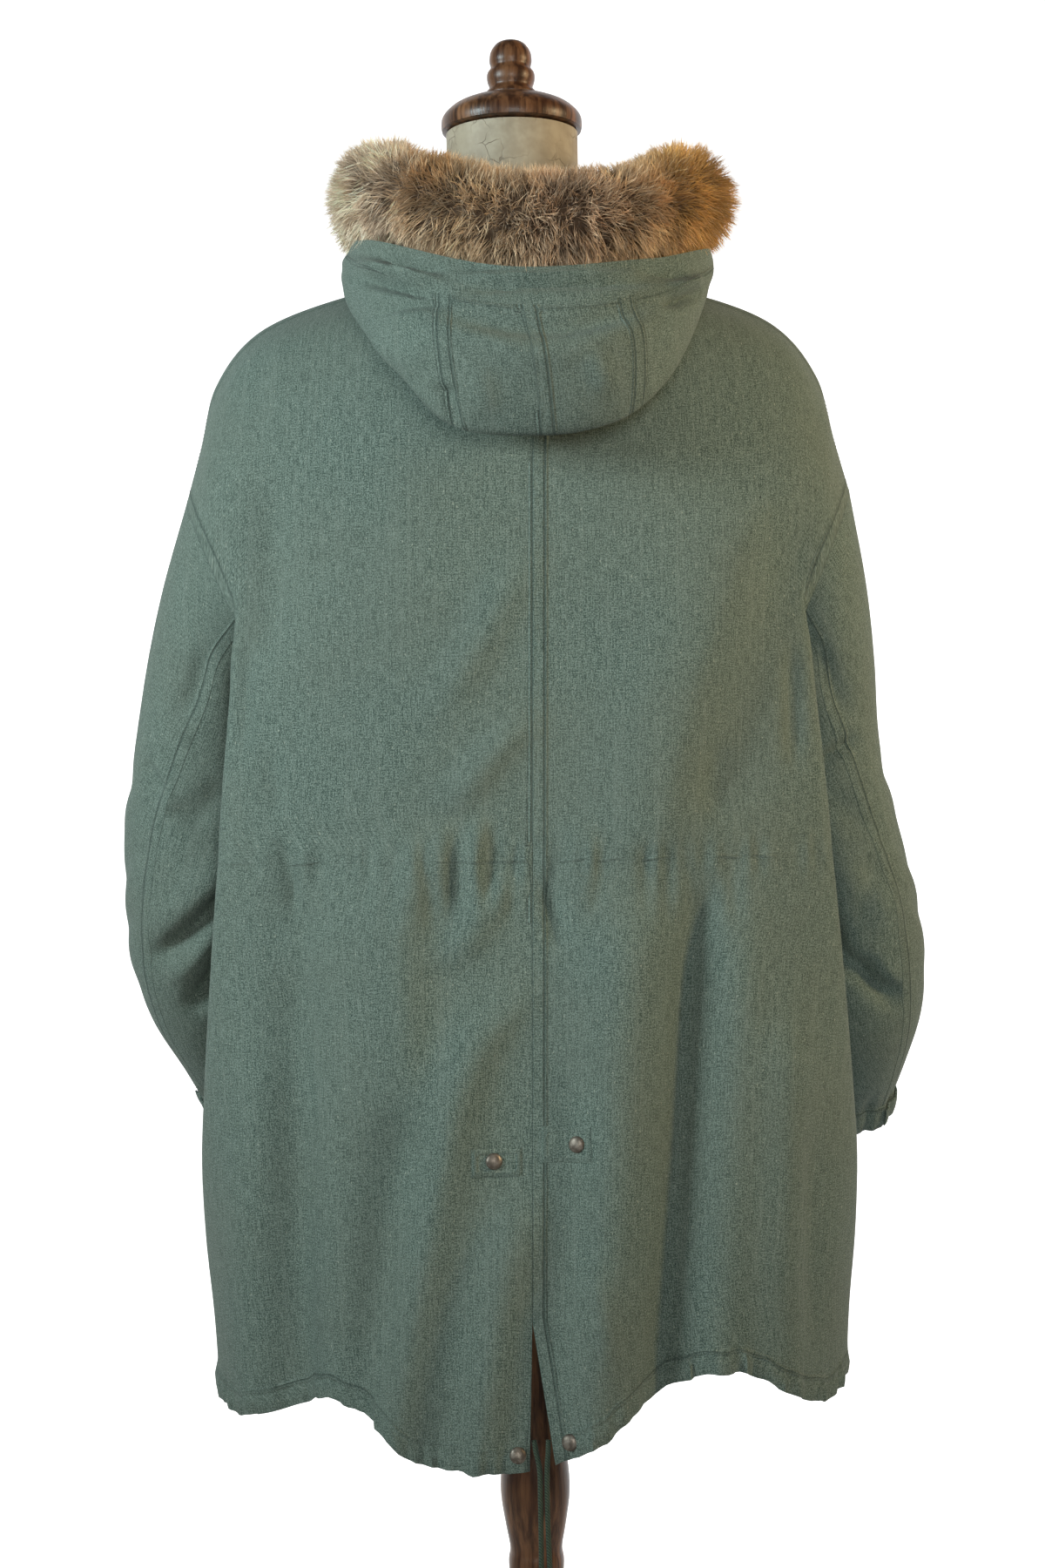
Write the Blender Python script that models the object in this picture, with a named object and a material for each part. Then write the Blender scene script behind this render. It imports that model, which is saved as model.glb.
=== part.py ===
"""Fishtail parka on a dress form. Metres, +Z up; the coat's back faces -Y, its left is at -X."""

import math

import bpy
import numpy as np
from mathutils import Vector
from mathutils.bvhtree import BVHTree

WALL = 0.002
SEAM_GAP = 0.0003
ORIGIN_SHIFT = (-0.0009, 0.0175, 0.0)
LIE_GAP = 0.0006
LEAST_SHARED = 0.6
LEAST_SHARED_ARMHOLE = 1.6

UNDERARM_Z = 1.100
LOW_ROWS = 14
ARMHOLE_STEPS = 8
BACK_COLUMNS = (8, 6)
FRONT_COLUMNS = (6, 5)

ARMHOLE_CENTRE = (0.2530, 0.0, 1.187)
ARMHOLE_RISE = (0.0380, 0.087)
ARMHOLE_DEPTH = 0.087

VENT_TOP_Z = 0.586
VENT_LOW_Z = 0.470
VENT_SPREAD_LEFT = -0.004
VENT_SPREAD_RIGHT = 0.017
SEAM_DRIFT = 0.013
SEAM_DRIFT_Z = 1.32

CLOTH = (0.125, 0.175, 0.145)
FUR = (0.32, 0.22, 0.13)
LINEN = (0.62, 0.57, 0.47)
WOOD = (0.10, 0.035, 0.014)
BRASS = (0.20, 0.14, 0.09)

# Half sections of the skirt, by height: from the centre back round to the side seam.
BACK_LEVELS = {
    "columns": ("z", "centre_y", "mid_x", "mid_y", "wing_x", "wing_y", "tip_x", "tip_y",
                "tuck_x", "tuck_y", "side_x", "side_y"),
    "rows": (
        (0.44, -0.190, 0.122, -0.173, 0.228, -0.104, 0.268, -0.040, 0.268, 0.005, 0.258, 0.044),
        (0.56, -0.186, 0.124, -0.171, 0.234, -0.108, 0.274, -0.040, 0.275, 0.005, 0.262, 0.044),
        (0.63, -0.181, 0.125, -0.168, 0.240, -0.112, 0.281, -0.040, 0.281, 0.005, 0.264, 0.042),
        (0.70, -0.175, 0.124, -0.164, 0.240, -0.113, 0.283, -0.048, 0.276, -0.005, 0.252, 0.034),
        (0.76, -0.168, 0.122, -0.159, 0.238, -0.113, 0.279, -0.058, 0.266, -0.024, 0.228, 0.014),
        (0.87, -0.156, 0.118, -0.150, 0.230, -0.112, 0.269, -0.078, 0.236, -0.052, 0.198, 0.000),
        (0.95, -0.150, 0.114, -0.146, 0.223, -0.112, 0.262, -0.084, 0.228, -0.058, 0.194, 0.000),
        (1.02, -0.151, 0.112, -0.147, 0.218, -0.113, 0.256, -0.087, 0.226, -0.060, 0.197, 0.000),
        (1.10, -0.152, 0.110, -0.148, 0.213, -0.115, 0.248, -0.090, 0.222, -0.056, 0.215, 0.000),
    ),
}

# The same for the front, from the side seam to the centre front.
FRONT_LEVELS = {
    "columns": ("z", "centre_y", "mid_x", "mid_y", "wing_x", "wing_y", "tip_x", "tip_y"),
    "rows": (
        (0.44, 0.186, 0.122, 0.168, 0.224, 0.106, 0.249, 0.075),
        (0.56, 0.182, 0.125, 0.165, 0.226, 0.108, 0.253, 0.076),
        (0.63, 0.176, 0.125, 0.160, 0.225, 0.108, 0.255, 0.075),
        (0.70, 0.168, 0.120, 0.153, 0.200, 0.103, 0.232, 0.068),
        (0.76, 0.160, 0.115, 0.148, 0.178, 0.098, 0.206, 0.056),
        (0.87, 0.148, 0.110, 0.140, 0.174, 0.092, 0.192, 0.048),
        (0.95, 0.144, 0.110, 0.136, 0.174, 0.090, 0.190, 0.045),
        (1.02, 0.147, 0.110, 0.140, 0.178, 0.092, 0.193, 0.045),
        (1.10, 0.150, 0.110, 0.143, 0.195, 0.095, 0.213, 0.045),
    ),
}

# Rows from the underarm up to the neckline and shoulder seam, by angle round the armhole.
UPPER_COLUMNS = ("angle", "centre_y", "centre_z", "mid_x", "mid_y", "mid_z", "wing_x", "wing_y",
                 "wing_z", "tip_x", "tip_y", "tip_z")
UPPER_BACK = (
    (-90, -0.152, 1.100, 0.110, -0.148, 1.100, 0.213, -0.115, 1.100, 0.248, -0.090, 1.100),
    (-45, -0.152, 1.135, 0.110, -0.149, 1.132, 0.213, -0.116, 1.130, 0.246, -0.092, 1.128),
    (0, -0.153, 1.205, 0.110, -0.150, 1.200, 0.213, -0.114, 1.195, 0.240, -0.099, 1.192),
    (45, -0.139, 1.352, 0.110, -0.130, 1.345, 0.222, -0.100, 1.315, 0.262, -0.079, 1.285),
    (70, -0.117, 1.430, 0.100, -0.085, 1.425, 0.2255, -0.054, 1.391, 0.2655, -0.042, 1.338),
    (90, -0.078, 1.478, 0.088, 0.000, 1.468, 0.2255, 0.000, 1.4235, 0.2655, 0.000, 1.3755),
)
UPPER_FRONT = (
    (-90, 0.150, 1.100, 0.110, 0.143, 1.100, 0.195, 0.095, 1.100, 0.213, 0.045, 1.100),
    (-45, 0.151, 1.140, 0.110, 0.144, 1.135, 0.201, 0.103, 1.130, 0.216, 0.083, 1.128),
    (0, 0.152, 1.200, 0.110, 0.145, 1.200, 0.210, 0.112, 1.195, 0.238, 0.099, 1.192),
    (45, 0.142, 1.305, 0.110, 0.128, 1.330, 0.222, 0.097, 1.315, 0.2625, 0.077, 1.285),
    (70, 0.118, 1.365, 0.100, 0.083, 1.410, 0.2255, 0.053, 1.391, 0.2655, 0.042, 1.338),
    (90, 0.082, 1.405, 0.088, 0.000, 1.468, 0.2255, 0.000, 1.4235, 0.2655, 0.000, 1.3755),
)

# Height of the hem, by turn in degrees from the centre back round to the centre front.
HEM_LEFT = (
    (0, 0.467), (14, 0.469), (20, 0.476), (26, 0.498), (31, 0.513), (36, 0.520), (42, 0.516),
    (50, 0.503), (58, 0.494), (68, 0.492), (77, 0.497), (90, 0.503), (115, 0.506), (180, 0.508),
)
HEM_RIGHT = (
    (0, 0.474), (6, 0.484), (11, 0.496), (16, 0.511), (22, 0.524), (30, 0.537), (37, 0.536),
    (42, 0.527), (48, 0.512), (56, 0.499), (65, 0.494), (74, 0.499), (90, 0.506), (180, 0.508),
)
SHOULDER_INNER_X = 0.084
NECK_HALF_WIDTH = 0.088
NECK_BACK_DEPTH = 0.078
NECK_FRONT_DEPTH = 0.082
HEM_HALF_WIDTH = 0.268
HEM_HALF_DEPTH = 0.190

# Largest folds: a line down the cloth, its half width, and how far it stands out (or in).
FOLD_COLUMNS = ("side_y", "top_x", "top_z", "low_x", "low_z", "half_width", "height")
FOLDS = (
    (-1, -0.196, 1.02, -0.200, 0.50, 0.022, -0.012),
    (-1, -0.150, 0.98, -0.158, 0.50, 0.030, 0.009),
    (-1, -0.034, 0.88, -0.098, 0.56, 0.026, 0.010),
    (-1, -0.080, 0.84, -0.128, 0.55, 0.022, -0.009),
    (-1, -0.004, 0.72, -0.034, 0.54, 0.020, 0.007),
    (-1, 0.090, 1.00, 0.050, 0.52, 0.034, 0.010),
    (-1, 0.152, 0.98, 0.107, 0.52, 0.024, -0.013),
    (-1, 0.185, 0.96, 0.150, 0.50, 0.024, 0.008),
    (-1, 0.215, 0.92, 0.212, 0.50, 0.026, 0.006),
    (1, -0.170, 1.00, -0.176, 0.50, 0.024, -0.010),
    (1, -0.100, 0.92, -0.104, 0.50, 0.030, 0.009),
    (1, 0.090, 0.94, 0.108, 0.50, 0.030, 0.009),
    (1, 0.160, 1.00, 0.170, 0.50, 0.024, -0.010),
)
FOLD_FADE = 0.14

# Sleeve rings from the armhole to the wrist: centre, half sizes, tilts and twist in degrees.
SLEEVE_COLUMNS = ("x", "y", "z", "half_width", "half_depth", "roll", "pitch", "twist")
SLEEVE_LEFT = (
    (0.2700, 0.004, 1.142, 0.0700, 0.0830, 50, 0, 6),
    (0.2755, 0.010, 1.096, 0.0645, 0.0770, 30, 0, 16),
    (0.2800, 0.016, 1.042, 0.0660, 0.0740, 12, 0, 32),
    (0.2850, 0.022, 0.985, 0.0700, 0.0740, 3, 0, 46),
    (0.2880, 0.032, 0.930, 0.0710, 0.0740, 0, 8, 55),
    (0.2880, 0.052, 0.880, 0.0700, 0.0720, -4, 22, 60),
    (0.2830, 0.080, 0.838, 0.0640, 0.0650, -10, 34, 62),
    (0.2740, 0.110, 0.798, 0.0550, 0.0560, -14, 38, 64),
    (0.2660, 0.136, 0.762, 0.0470, 0.0470, -14, 38, 64),
)
SLEEVE_RIGHT = (
    (0.2630, 0.004, 1.140, 0.0660, 0.0850, 50, 0, 6),
    (0.2630, 0.010, 1.094, 0.0575, 0.0770, 30, 0, 16),
    (0.2640, 0.016, 1.042, 0.0545, 0.0740, 14, 0, 32),
    (0.2700, 0.022, 0.985, 0.0605, 0.0740, 4, 0, 46),
    (0.2800, 0.030, 0.925, 0.0700, 0.0740, 0, 6, 55),
    (0.2850, 0.044, 0.868, 0.0740, 0.0750, 0, 16, 60),
    (0.2900, 0.070, 0.818, 0.0700, 0.0720, 0, 28, 62),
    (0.2930, 0.104, 0.778, 0.0590, 0.0620, -4, 38, 64),
    (0.2960, 0.134, 0.744, 0.0480, 0.0480, -8, 42, 64),
)
SLEEVE_BACK_SEAM = 3
SLEEVE_FRONT_SEAM = 13
CUFF_LENGTH = 0.034
CUFF_FLARE = 0.94
TAB_EDGE = 0.18
TAB_COLUMNS = 3
TAB_TOWARD_BACK = 0.6


def table(columns, rows):
    """A table's named columns as arrays."""
    values = np.array(rows, dtype=float)
    return {name: values[:, index] for index, name in enumerate(columns)}


def smooth(knots, values, at):
    """A smooth curve through the values, read where asked."""
    knots = np.asarray(knots, dtype=float)
    values = np.asarray(values, dtype=float)
    if values.ndim == 1:
        return smooth(knots, values[:, None], at)[..., 0]
    at = np.clip(np.asarray(at, dtype=float), knots[0], knots[-1])
    steps = np.diff(knots)[:, None]
    chords = np.diff(values, axis=0) / steps
    slopes = np.empty_like(values)
    slopes[0] = chords[0]
    slopes[-1] = chords[-1]
    slopes[1:-1] = (chords[:-1] * steps[1:] + chords[1:] * steps[:-1]) / (steps[1:] + steps[:-1])
    index = np.clip(np.searchsorted(knots, at, side="right") - 1, 0, len(knots) - 2)
    width = steps[index, 0]
    u = ((at - knots[index]) / width)[..., None]
    width = width[..., None]
    return ((2 * u**3 - 3 * u**2 + 1) * values[index] + (u**3 - 2 * u**2 + u) * width * slopes[index]
            + (3 * u**2 - 2 * u**3) * values[index + 1] + (u**3 - u**2) * width * slopes[index + 1])


def spread(controls, first, last, count):
    """Even points on the smooth curve through the controls, between two of them."""
    chord = np.linalg.norm(np.diff(controls, axis=0), axis=1) ** 0.5
    knots = np.concatenate([[0.0], np.cumsum(np.maximum(chord, 1e-6))])
    fine = smooth(knots, controls, np.linspace(knots[first], knots[last], 24 * (last - first) + 1))
    length = np.concatenate([[0.0], np.cumsum(np.linalg.norm(np.diff(fine, axis=0), axis=1))])
    wanted = np.linspace(0.0, length[-1], count + 1)
    return np.stack([np.interp(wanted, length, fine[:, axis]) for axis in range(3)], axis=1)


def half_ring(controls, counts, mirror_start):
    """One half section: centre to wing, then wing to side, from its control points."""
    controls = np.array(controls, dtype=float)
    before = controls[1] * np.array(mirror_start)
    chain = np.vstack([before, controls])
    inner = spread(chain, 1, 3, counts[0])
    outer = spread(chain, 3, len(chain) - 1, counts[1])
    return np.vstack([inner, outer[1:]])


def armhole(angle, toward):
    """A point on the armhole loop; toward is -1 at the back and +1 at the front."""
    lift = math.sin(math.radians(angle))
    reach = math.cos(math.radians(angle))
    return (ARMHOLE_CENTRE[0] + ARMHOLE_RISE[0] * lift, ARMHOLE_CENTRE[1] + toward * ARMHOLE_DEPTH * reach,
            ARMHOLE_CENTRE[2] + ARMHOLE_RISE[1] * lift)


BACK_TABLE = table(BACK_LEVELS["columns"], BACK_LEVELS["rows"])
FRONT_TABLE = table(FRONT_LEVELS["columns"], FRONT_LEVELS["rows"])
UPPER_BACK_TABLE = table(UPPER_COLUMNS, UPPER_BACK)
UPPER_FRONT_TABLE = table(UPPER_COLUMNS, UPPER_FRONT)


def level(source, name, at):
    """One column of a section table, read at a height or an angle."""
    key = "z" if "z" in source else "angle"
    return float(smooth(source[key], source[name], np.array([at]))[0])


def lower_section(z, toward):
    """Half section of the skirt at one height, on the +X side, from the centre to the side seam."""
    source = BACK_TABLE if toward < 0 else FRONT_TABLE
    side = (level(BACK_TABLE, "side_x", z), level(BACK_TABLE, "side_y", z), z)
    controls = [(0.0, level(source, "centre_y", z), z)]
    for point in ("mid", "wing", "tip"):
        controls.append((level(source, point + "_x", z), level(source, point + "_y", z), z))
    if toward < 0:
        controls.append((level(source, "tuck_x", z), level(source, "tuck_y", z), z))
    controls.append(side)
    return half_ring(controls, BACK_COLUMNS if toward < 0 else FRONT_COLUMNS, (-1, 1, 1))


def upper_section(angle, toward):
    """Half row above the underarm, on the +X side, from the centre to the armhole."""
    source = UPPER_BACK_TABLE if toward < 0 else UPPER_FRONT_TABLE
    controls = [(0.0, level(source, "centre_y", angle), level(source, "centre_z", angle))]
    for point in ("mid", "wing", "tip"):
        controls.append(tuple(level(source, point + axis, angle) for axis in ("_x", "_y", "_z")))
    edge = np.array(armhole(angle, toward))
    if toward < 0:
        low = lower_section(UNDERARM_Z, -1)[-3]
        share = max(0.0, -math.sin(math.radians(angle))) ** 2
        middle = 0.5 * (np.array(controls[-1]) + edge)
        tuck = (1 - share) * middle + share * low
        tuck[2] = middle[2]
        controls.append(tuple(tuck))
    controls.append(tuple(edge))
    return half_ring(controls, BACK_COLUMNS if toward < 0 else FRONT_COLUMNS, (-1, 1, 1))


def turn_of(point):
    """Degrees round the hem oval from the centre back."""
    return math.degrees(math.atan2(abs(point[0]) / HEM_HALF_WIDTH, -point[1] / HEM_HALF_DEPTH))


def hem_height(point, side):
    rows = HEM_LEFT if side < 0 else HEM_RIGHT
    turns = [row[0] for row in rows]
    heights = [row[1] for row in rows]
    return float(smooth(turns, heights, np.array([turn_of(point)]))[0])


def seam_shift(z, side):
    """Sideways place of the centre back edge: a slight drift, then the open vent."""
    drift = SEAM_DRIFT * min(1.0, max(0.0, (z - VENT_TOP_Z) / (SEAM_DRIFT_Z - VENT_TOP_Z)))
    open_share = min(1.0, max(0.0, (VENT_TOP_Z - z) / (VENT_TOP_Z - VENT_LOW_Z)))
    spread_x = VENT_SPREAD_LEFT if side < 0 else VENT_SPREAD_RIGHT
    return drift + spread_x * open_share


def fold_height(x, z, toward):
    """How far the largest folds move the cloth out at one place."""
    total = 0.0
    for row in FOLDS:
        fold = dict(zip(FOLD_COLUMNS, row))
        if fold["side_y"] * toward < 0:
            continue
        share = (fold["top_z"] - z) / (fold["top_z"] - fold["low_z"])
        line_x = fold["top_x"] + (fold["low_x"] - fold["top_x"]) * share
        fade = min(1.0, max(0.0, (fold["top_z"] - z) / FOLD_FADE))
        across = math.exp(-((x - line_x) / fold["half_width"]) ** 2)
        total += fold["height"] * fade * fade * (3 - 2 * fade) * across
    return total


def grid_normals(points, closed=False):
    """Outward normals of a grid whose rows go up and whose columns run anticlockwise."""
    if closed:
        across = np.roll(points, -1, axis=1) - np.roll(points, 1, axis=1)
    else:
        across = np.gradient(points, axis=1)
    upward = np.gradient(points, axis=0)
    normals = np.cross(across, upward)
    return normals / np.maximum(np.linalg.norm(normals, axis=2, keepdims=True), 1e-12)


def body_panel(side, toward):
    """The points of one front or back panel, its columns from the centre to the side."""
    rows = []
    reference = lower_section(0.5, toward)
    for row in range(LOW_ROWS):
        share = row / LOW_ROWS
        line = []
        for column, low in enumerate(reference):
            hem = hem_height(low, side)
            z = hem + (UNDERARM_Z - hem) * share
            line.append(lower_section(z, toward)[column])
        rows.append(line)
    for step in range(ARMHOLE_STEPS + 1):
        rows.append(upper_section(-90 + 180 * step / ARMHOLE_STEPS, toward))
    points = np.array(rows)
    points[..., 0] *= side
    if toward < 0:
        columns = np.linspace(0.0, 1.0, points.shape[1])
        for row in points:
            row[:, 0] += np.array([seam_shift(z, side) for z in row[:, 2]]) * (1 - columns) ** 2
    return points


def anticlockwise(points, side, toward):
    """Order the columns anticlockwise seen from above."""
    return points[:, ::-1] if side * toward > 0 else points


def fold_panel(points, toward):
    normals = grid_normals(points)
    lift = np.array([[fold_height(p[0], p[2], toward) for p in row] for row in points])
    flat = normals.copy()
    flat[..., 2] = 0
    return points + flat * lift[..., None]


def share_normals(first, second):
    """Give the two sides of a seam the same normal, so that their walls meet squarely."""
    mean = first + second
    length = np.linalg.norm(mean, axis=1, keepdims=True)
    keep = length[:, 0] > LEAST_SHARED
    mean = mean / np.maximum(length, 1e-9)
    first[keep] = mean[keep]
    second[keep] = mean[keep]


def material(name, colour, roughness, metallic=0.0):
    made = bpy.data.materials.get(name)
    if made is None:
        made = bpy.data.materials.new(name)
        made.use_nodes = True
        shader = made.node_tree.nodes["Principled BSDF"]
        shader.inputs["Base Color"].default_value = (*colour, 1.0)
        shader.inputs["Roughness"].default_value = roughness
        shader.inputs["Metallic"].default_value = metallic
    return made


def add_object(name, vertices, faces, look, smooth_angle=None):
    mesh = bpy.data.meshes.new(name)
    mesh.from_pydata([tuple(float(v) for v in vertex) for vertex in vertices], [], faces)
    mesh.validate()
    mesh.materials.append(look)
    made = bpy.data.objects.new(name, mesh)
    bpy.context.scene.collection.objects.link(made)
    if smooth_angle is not None:
        mesh.shade_smooth()
        mesh.set_sharp_from_angle(angle=math.radians(smooth_angle))
    return made


def trim_edges(layer, edges, gap):
    """Draw the named edges of a layer in by half the seam gap."""
    half = gap / 2
    trimmed = layer.copy()
    pairs = {"left": ((slice(None), 0), (slice(None), 1)), "right": ((slice(None), -1), (slice(None), -2)),
             "low": ((0,), (1,)), "high": ((-1,), (-2,))}
    for edge in edges:
        rim, inside = pairs[edge]
        toward = layer[inside] - layer[rim]
        toward = toward / np.linalg.norm(toward, axis=-1, keepdims=True)
        trimmed[rim] = trimmed[rim] + half * toward
    return trimmed


def rim(start, end, count, turned_over):
    """Two triangles that close a wall's edge; both sides of a seam use the same diagonal."""
    halves = ((start, end, count + end), (start, count + end, count + start))
    if turned_over:
        return [tuple(reversed(half)) for half in halves]
    return halves


def shell(name, points, normals, look, edges=("left", "right", "low", "high"), wall=WALL, closed=False,
          gap=SEAM_GAP):
    """A cloth wall: the outer points, the same points a wall inside, and the rims between."""
    outer = trim_edges(points, edges, gap)
    inner = trim_edges(points - wall * normals, edges, gap)
    rows, columns = points.shape[:2]
    count = rows * columns
    vertices = np.vstack([outer.reshape(-1, 3), inner.reshape(-1, 3)])
    span = columns if closed else columns - 1

    def at(row, column):
        return row * columns + column % columns

    faces = []
    flat = outer.reshape(-1, 3)
    for row in range(rows - 1):
        for column in range(span):
            a, b = at(row, column), at(row, column + 1)
            c, d = at(row + 1, column + 1), at(row + 1, column)
            if np.linalg.norm(flat[a] - flat[c]) < np.linalg.norm(flat[b] - flat[d]):
                halves = ((a, b, c), (a, c, d))
            else:
                halves = ((a, b, d), (b, c, d))
            faces.extend(halves)
            faces.extend(tuple(count + index for index in reversed(half)) for half in halves)
    for column in range(span):
        faces.extend(rim(at(0, column), at(0, column + 1), count, True))
        faces.extend(rim(at(rows - 1, column), at(rows - 1, column + 1), count, False))
    if not closed:
        for row in range(rows - 1):
            faces.extend(rim(at(row, 0), at(row + 1, 0), count, False))
            faces.extend(rim(at(row, columns - 1), at(row + 1, columns - 1), count, True))
    return add_object(name, vertices, faces, look, 40)


def clear_scene():
    for existing in list(bpy.data.objects):
        bpy.data.objects.remove(existing, do_unlink=True)


def join_edges(panels, first, second, rows):
    """Bring two edges to their common seam line."""
    mean = 0.5 * (panels[first[0]][rows, first[1]] + panels[second[0]][rows, second[1]])
    panels[first[0]][rows, first[1]] = mean
    panels[second[0]][rows, second[1]] = mean


def flatten_normals(normals, axis):
    """Turn the normals of a seam into the seam's own plane."""
    normals[:, axis] = 0
    normals /= np.maximum(np.linalg.norm(normals, axis=1, keepdims=True), 1e-9)


def round_neckline(row, depth):
    """Move the neckline's points out to the neck's oval."""
    for point in row:
        if abs(point[0]) <= SHOULDER_INNER_X:
            size = math.hypot(point[0] / NECK_HALF_WIDTH, point[1] / depth)
            point[:2] /= max(size, 0.2)


def make_body():
    """The points and outward normals of the four panels."""
    panels = {}
    for side, side_name in ((-1, "left"), (1, "right")):
        for toward, face_name in ((-1, "back"), (1, "front")):
            points = fold_panel(anticlockwise(body_panel(side, toward), side, toward), toward)
            top = points[-1]
            top[:, 1] = np.maximum(top[:, 1] * toward, 0) * toward
            top[np.abs(top[:, 0]) > SHOULDER_INNER_X, 1] = 0
            round_neckline(top, NECK_BACK_DEPTH if toward < 0 else NECK_FRONT_DEPTH)
            panels[face_name + "_" + side_name] = points
    skirt = slice(0, LOW_ROWS + 1)
    join_edges(panels, ("back_left", 0), ("front_left", -1), skirt)
    join_edges(panels, ("back_right", -1), ("front_right", 0), skirt)
    normals = {name: grid_normals(points) for name, points in panels.items()}
    share_normals(normals["back_left"][skirt, 0], normals["front_left"][skirt, -1])
    share_normals(normals["back_right"][skirt, -1], normals["front_right"][skirt, 0])
    for name, edge in (("back_left", -1), ("back_right", 0), ("front_left", 0), ("front_right", -1)):
        flatten_normals(normals[name][:, edge], 0)
    for name, points in panels.items():
        on_shoulder = np.abs(points[-1, :, 1]) < 0.004
        top = normals[name][-1]
        top[on_shoulder, 1] = 0
        top /= np.linalg.norm(top, axis=1, keepdims=True)
    return panels, normals


def ring_points(row, side, count):
    """One sleeve ring; its points start under the arm and pass the back first."""
    ring = dict(zip(SLEEVE_COLUMNS, row))
    roll = math.radians(ring["roll"])
    pitch = math.radians(ring["pitch"])
    outward = np.array((side * math.cos(roll), 0.0, math.sin(roll)))
    backward = np.array((0.0, -math.cos(pitch), -math.sin(pitch)))
    angles = np.radians(-90 + 360 / count * np.arange(count) + ring["twist"])
    centre = np.array((side * ring["x"], ring["y"], ring["z"]))
    return (centre + np.outer(ring["half_width"] * np.sin(angles), outward)
            + np.outer(ring["half_depth"] * np.cos(angles), backward))


def sleeve_points(side):
    """All rings from the wrist up to the armhole."""
    rows = SLEEVE_LEFT if side < 0 else SLEEVE_RIGHT
    count = 2 * ARMHOLE_STEPS
    top = []
    for step in range(count):
        angle = -90 + 360 * step / count
        toward = -1 if angle <= 90 else 1
        fold_angle = angle if angle <= 90 else 180 - angle
        x, y, z = armhole(fold_angle, toward)
        top.append((side * x, y, z))
    rings = [ring_points(row, side, count) for row in reversed(rows)]
    return np.array(rings + [top])


def share_armhole(panels, normals, ring, ring_normals):
    """Give each armhole point of the body and of the sleeve their mean normal."""
    for name, points in panels.items():
        edge = -1 if np.abs(points[0, -1, 0]) > np.abs(points[0, 0, 0]) else 0
        for row in range(LOW_ROWS, len(points)):
            apart = np.linalg.norm(ring - points[row, edge], axis=1)
            match = int(np.argmin(apart))
            if apart[match] > 1e-5:
                continue
            mean = normals[name][row, edge] + ring_normals[match]
            if np.linalg.norm(mean) > LEAST_SHARED_ARMHOLE:
                mean = mean / np.linalg.norm(mean)
                normals[name][row, edge] = mean
                ring_normals[match] = mean


def make_sleeve(side, side_name, panels, body_normals, look):
    points = sleeve_points(side)
    if side > 0:
        points = np.roll(points[:, ::-1], 1, axis=1)
    back = SLEEVE_BACK_SEAM if side < 0 else 2 * ARMHOLE_STEPS - SLEEVE_BACK_SEAM
    front = SLEEVE_FRONT_SEAM if side < 0 else 2 * ARMHOLE_STEPS - SLEEVE_FRONT_SEAM
    normals = grid_normals(points, closed=True)
    centre = points.mean(axis=1, keepdims=True)
    if ((points - centre) * normals).sum() < 0:
        points = points[:, ::-1]
        normals = grid_normals(points, closed=True)
        back = points.shape[1] - 1 - back
        front = points.shape[1] - 1 - front
    share_armhole(panels, body_normals, points[-1], normals[-1])
    first, last = sorted((back, front))
    columns = np.arange(points.shape[1])
    inside = np.arange(first, last + 1)
    outside = np.concatenate([columns[last:], columns[:first + 1]])
    under_is_outside = len(outside) < len(inside)
    under = outside if under_is_outside else inside
    top = inside if under_is_outside else outside
    shell("under_sleeve_" + side_name, points[:, under], normals[:, under], look)
    shell("top_sleeve_" + side_name, points[:, top], normals[:, top], look)
    make_cuff(points, side, side_name, look)


def make_cuff(points, side, side_name, look):
    """A short band that carries the sleeve on past its last ring, with a flat tab on its outer side."""
    wrist = points[0]
    centre = wrist.mean(axis=0)
    along = centre - points[1].mean(axis=0)
    along /= np.linalg.norm(along)
    low = centre + CUFF_LENGTH * along + CUFF_FLARE * (wrist - centre)
    band = np.array([low, 0.5 * (low + wrist), wrist])
    normals = grid_normals(band, closed=True)
    shell("cuff_" + side_name, band, normals, look, ("low", "high"), WALL, True)
    outermost = int(np.argmax(side * band[1, :, 0] - TAB_TOWARD_BACK * band[1, :, 1]))
    picks = [(outermost + step - 1) % band.shape[1] for step in range(TAB_COLUMNS)]
    tab = np.array([(1 - TAB_EDGE) * band[0, picks] + TAB_EDGE * band[2, picks],
                    TAB_EDGE * band[0, picks] + (1 - TAB_EDGE) * band[2, picks]])
    lie = normals[:2, picks]
    shell("cuff_tab_" + side_name, tab + lie * (WALL + LIE_GAP), lie, look, (), WALL)


# The fur ruff: a fat roll round the hood's rim, open at the throat.
RUFF_COLUMNS = ("turn", "x", "y", "z", "radius")
RUFF_STATIONS = (
    (-1.00, -0.052, 0.150, 1.472, 0.030),
    (-0.78, -0.112, 0.078, 1.518, 0.040),
    (-0.56, -0.117, -0.018, 1.534, 0.046),
    (-0.34, -0.099, -0.112, 1.517, 0.046),
    (0.00, 0.006, -0.178, 1.475, 0.046),
    (0.28, 0.092, -0.152, 1.487, 0.046),
    (0.56, 0.144, -0.052, 1.520, 0.049),
    (0.78, 0.124, 0.075, 1.512, 0.042),
    (1.00, 0.056, 0.150, 1.472, 0.030),
)
RUFF_SIDES = 12
RUFF_TIP = 0.6
RIM_LEAN = 60
RIM_GAP = 0.0017


def ruff_line(turns):
    """Centres, radii and outward directions of the ruff, by turn from one end to the other."""
    source = table(RUFF_COLUMNS, RUFF_STATIONS)
    centres = smooth(source["turn"], np.stack([source[axis] for axis in "xyz"], axis=1), turns)
    radii = smooth(source["turn"], source["radius"], turns)
    heading = np.gradient(centres, axis=0)
    outward = np.stack([heading[:, 1], -heading[:, 0], np.zeros(len(turns))], axis=1)
    return centres, radii, outward / np.linalg.norm(outward, axis=1, keepdims=True), heading


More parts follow.
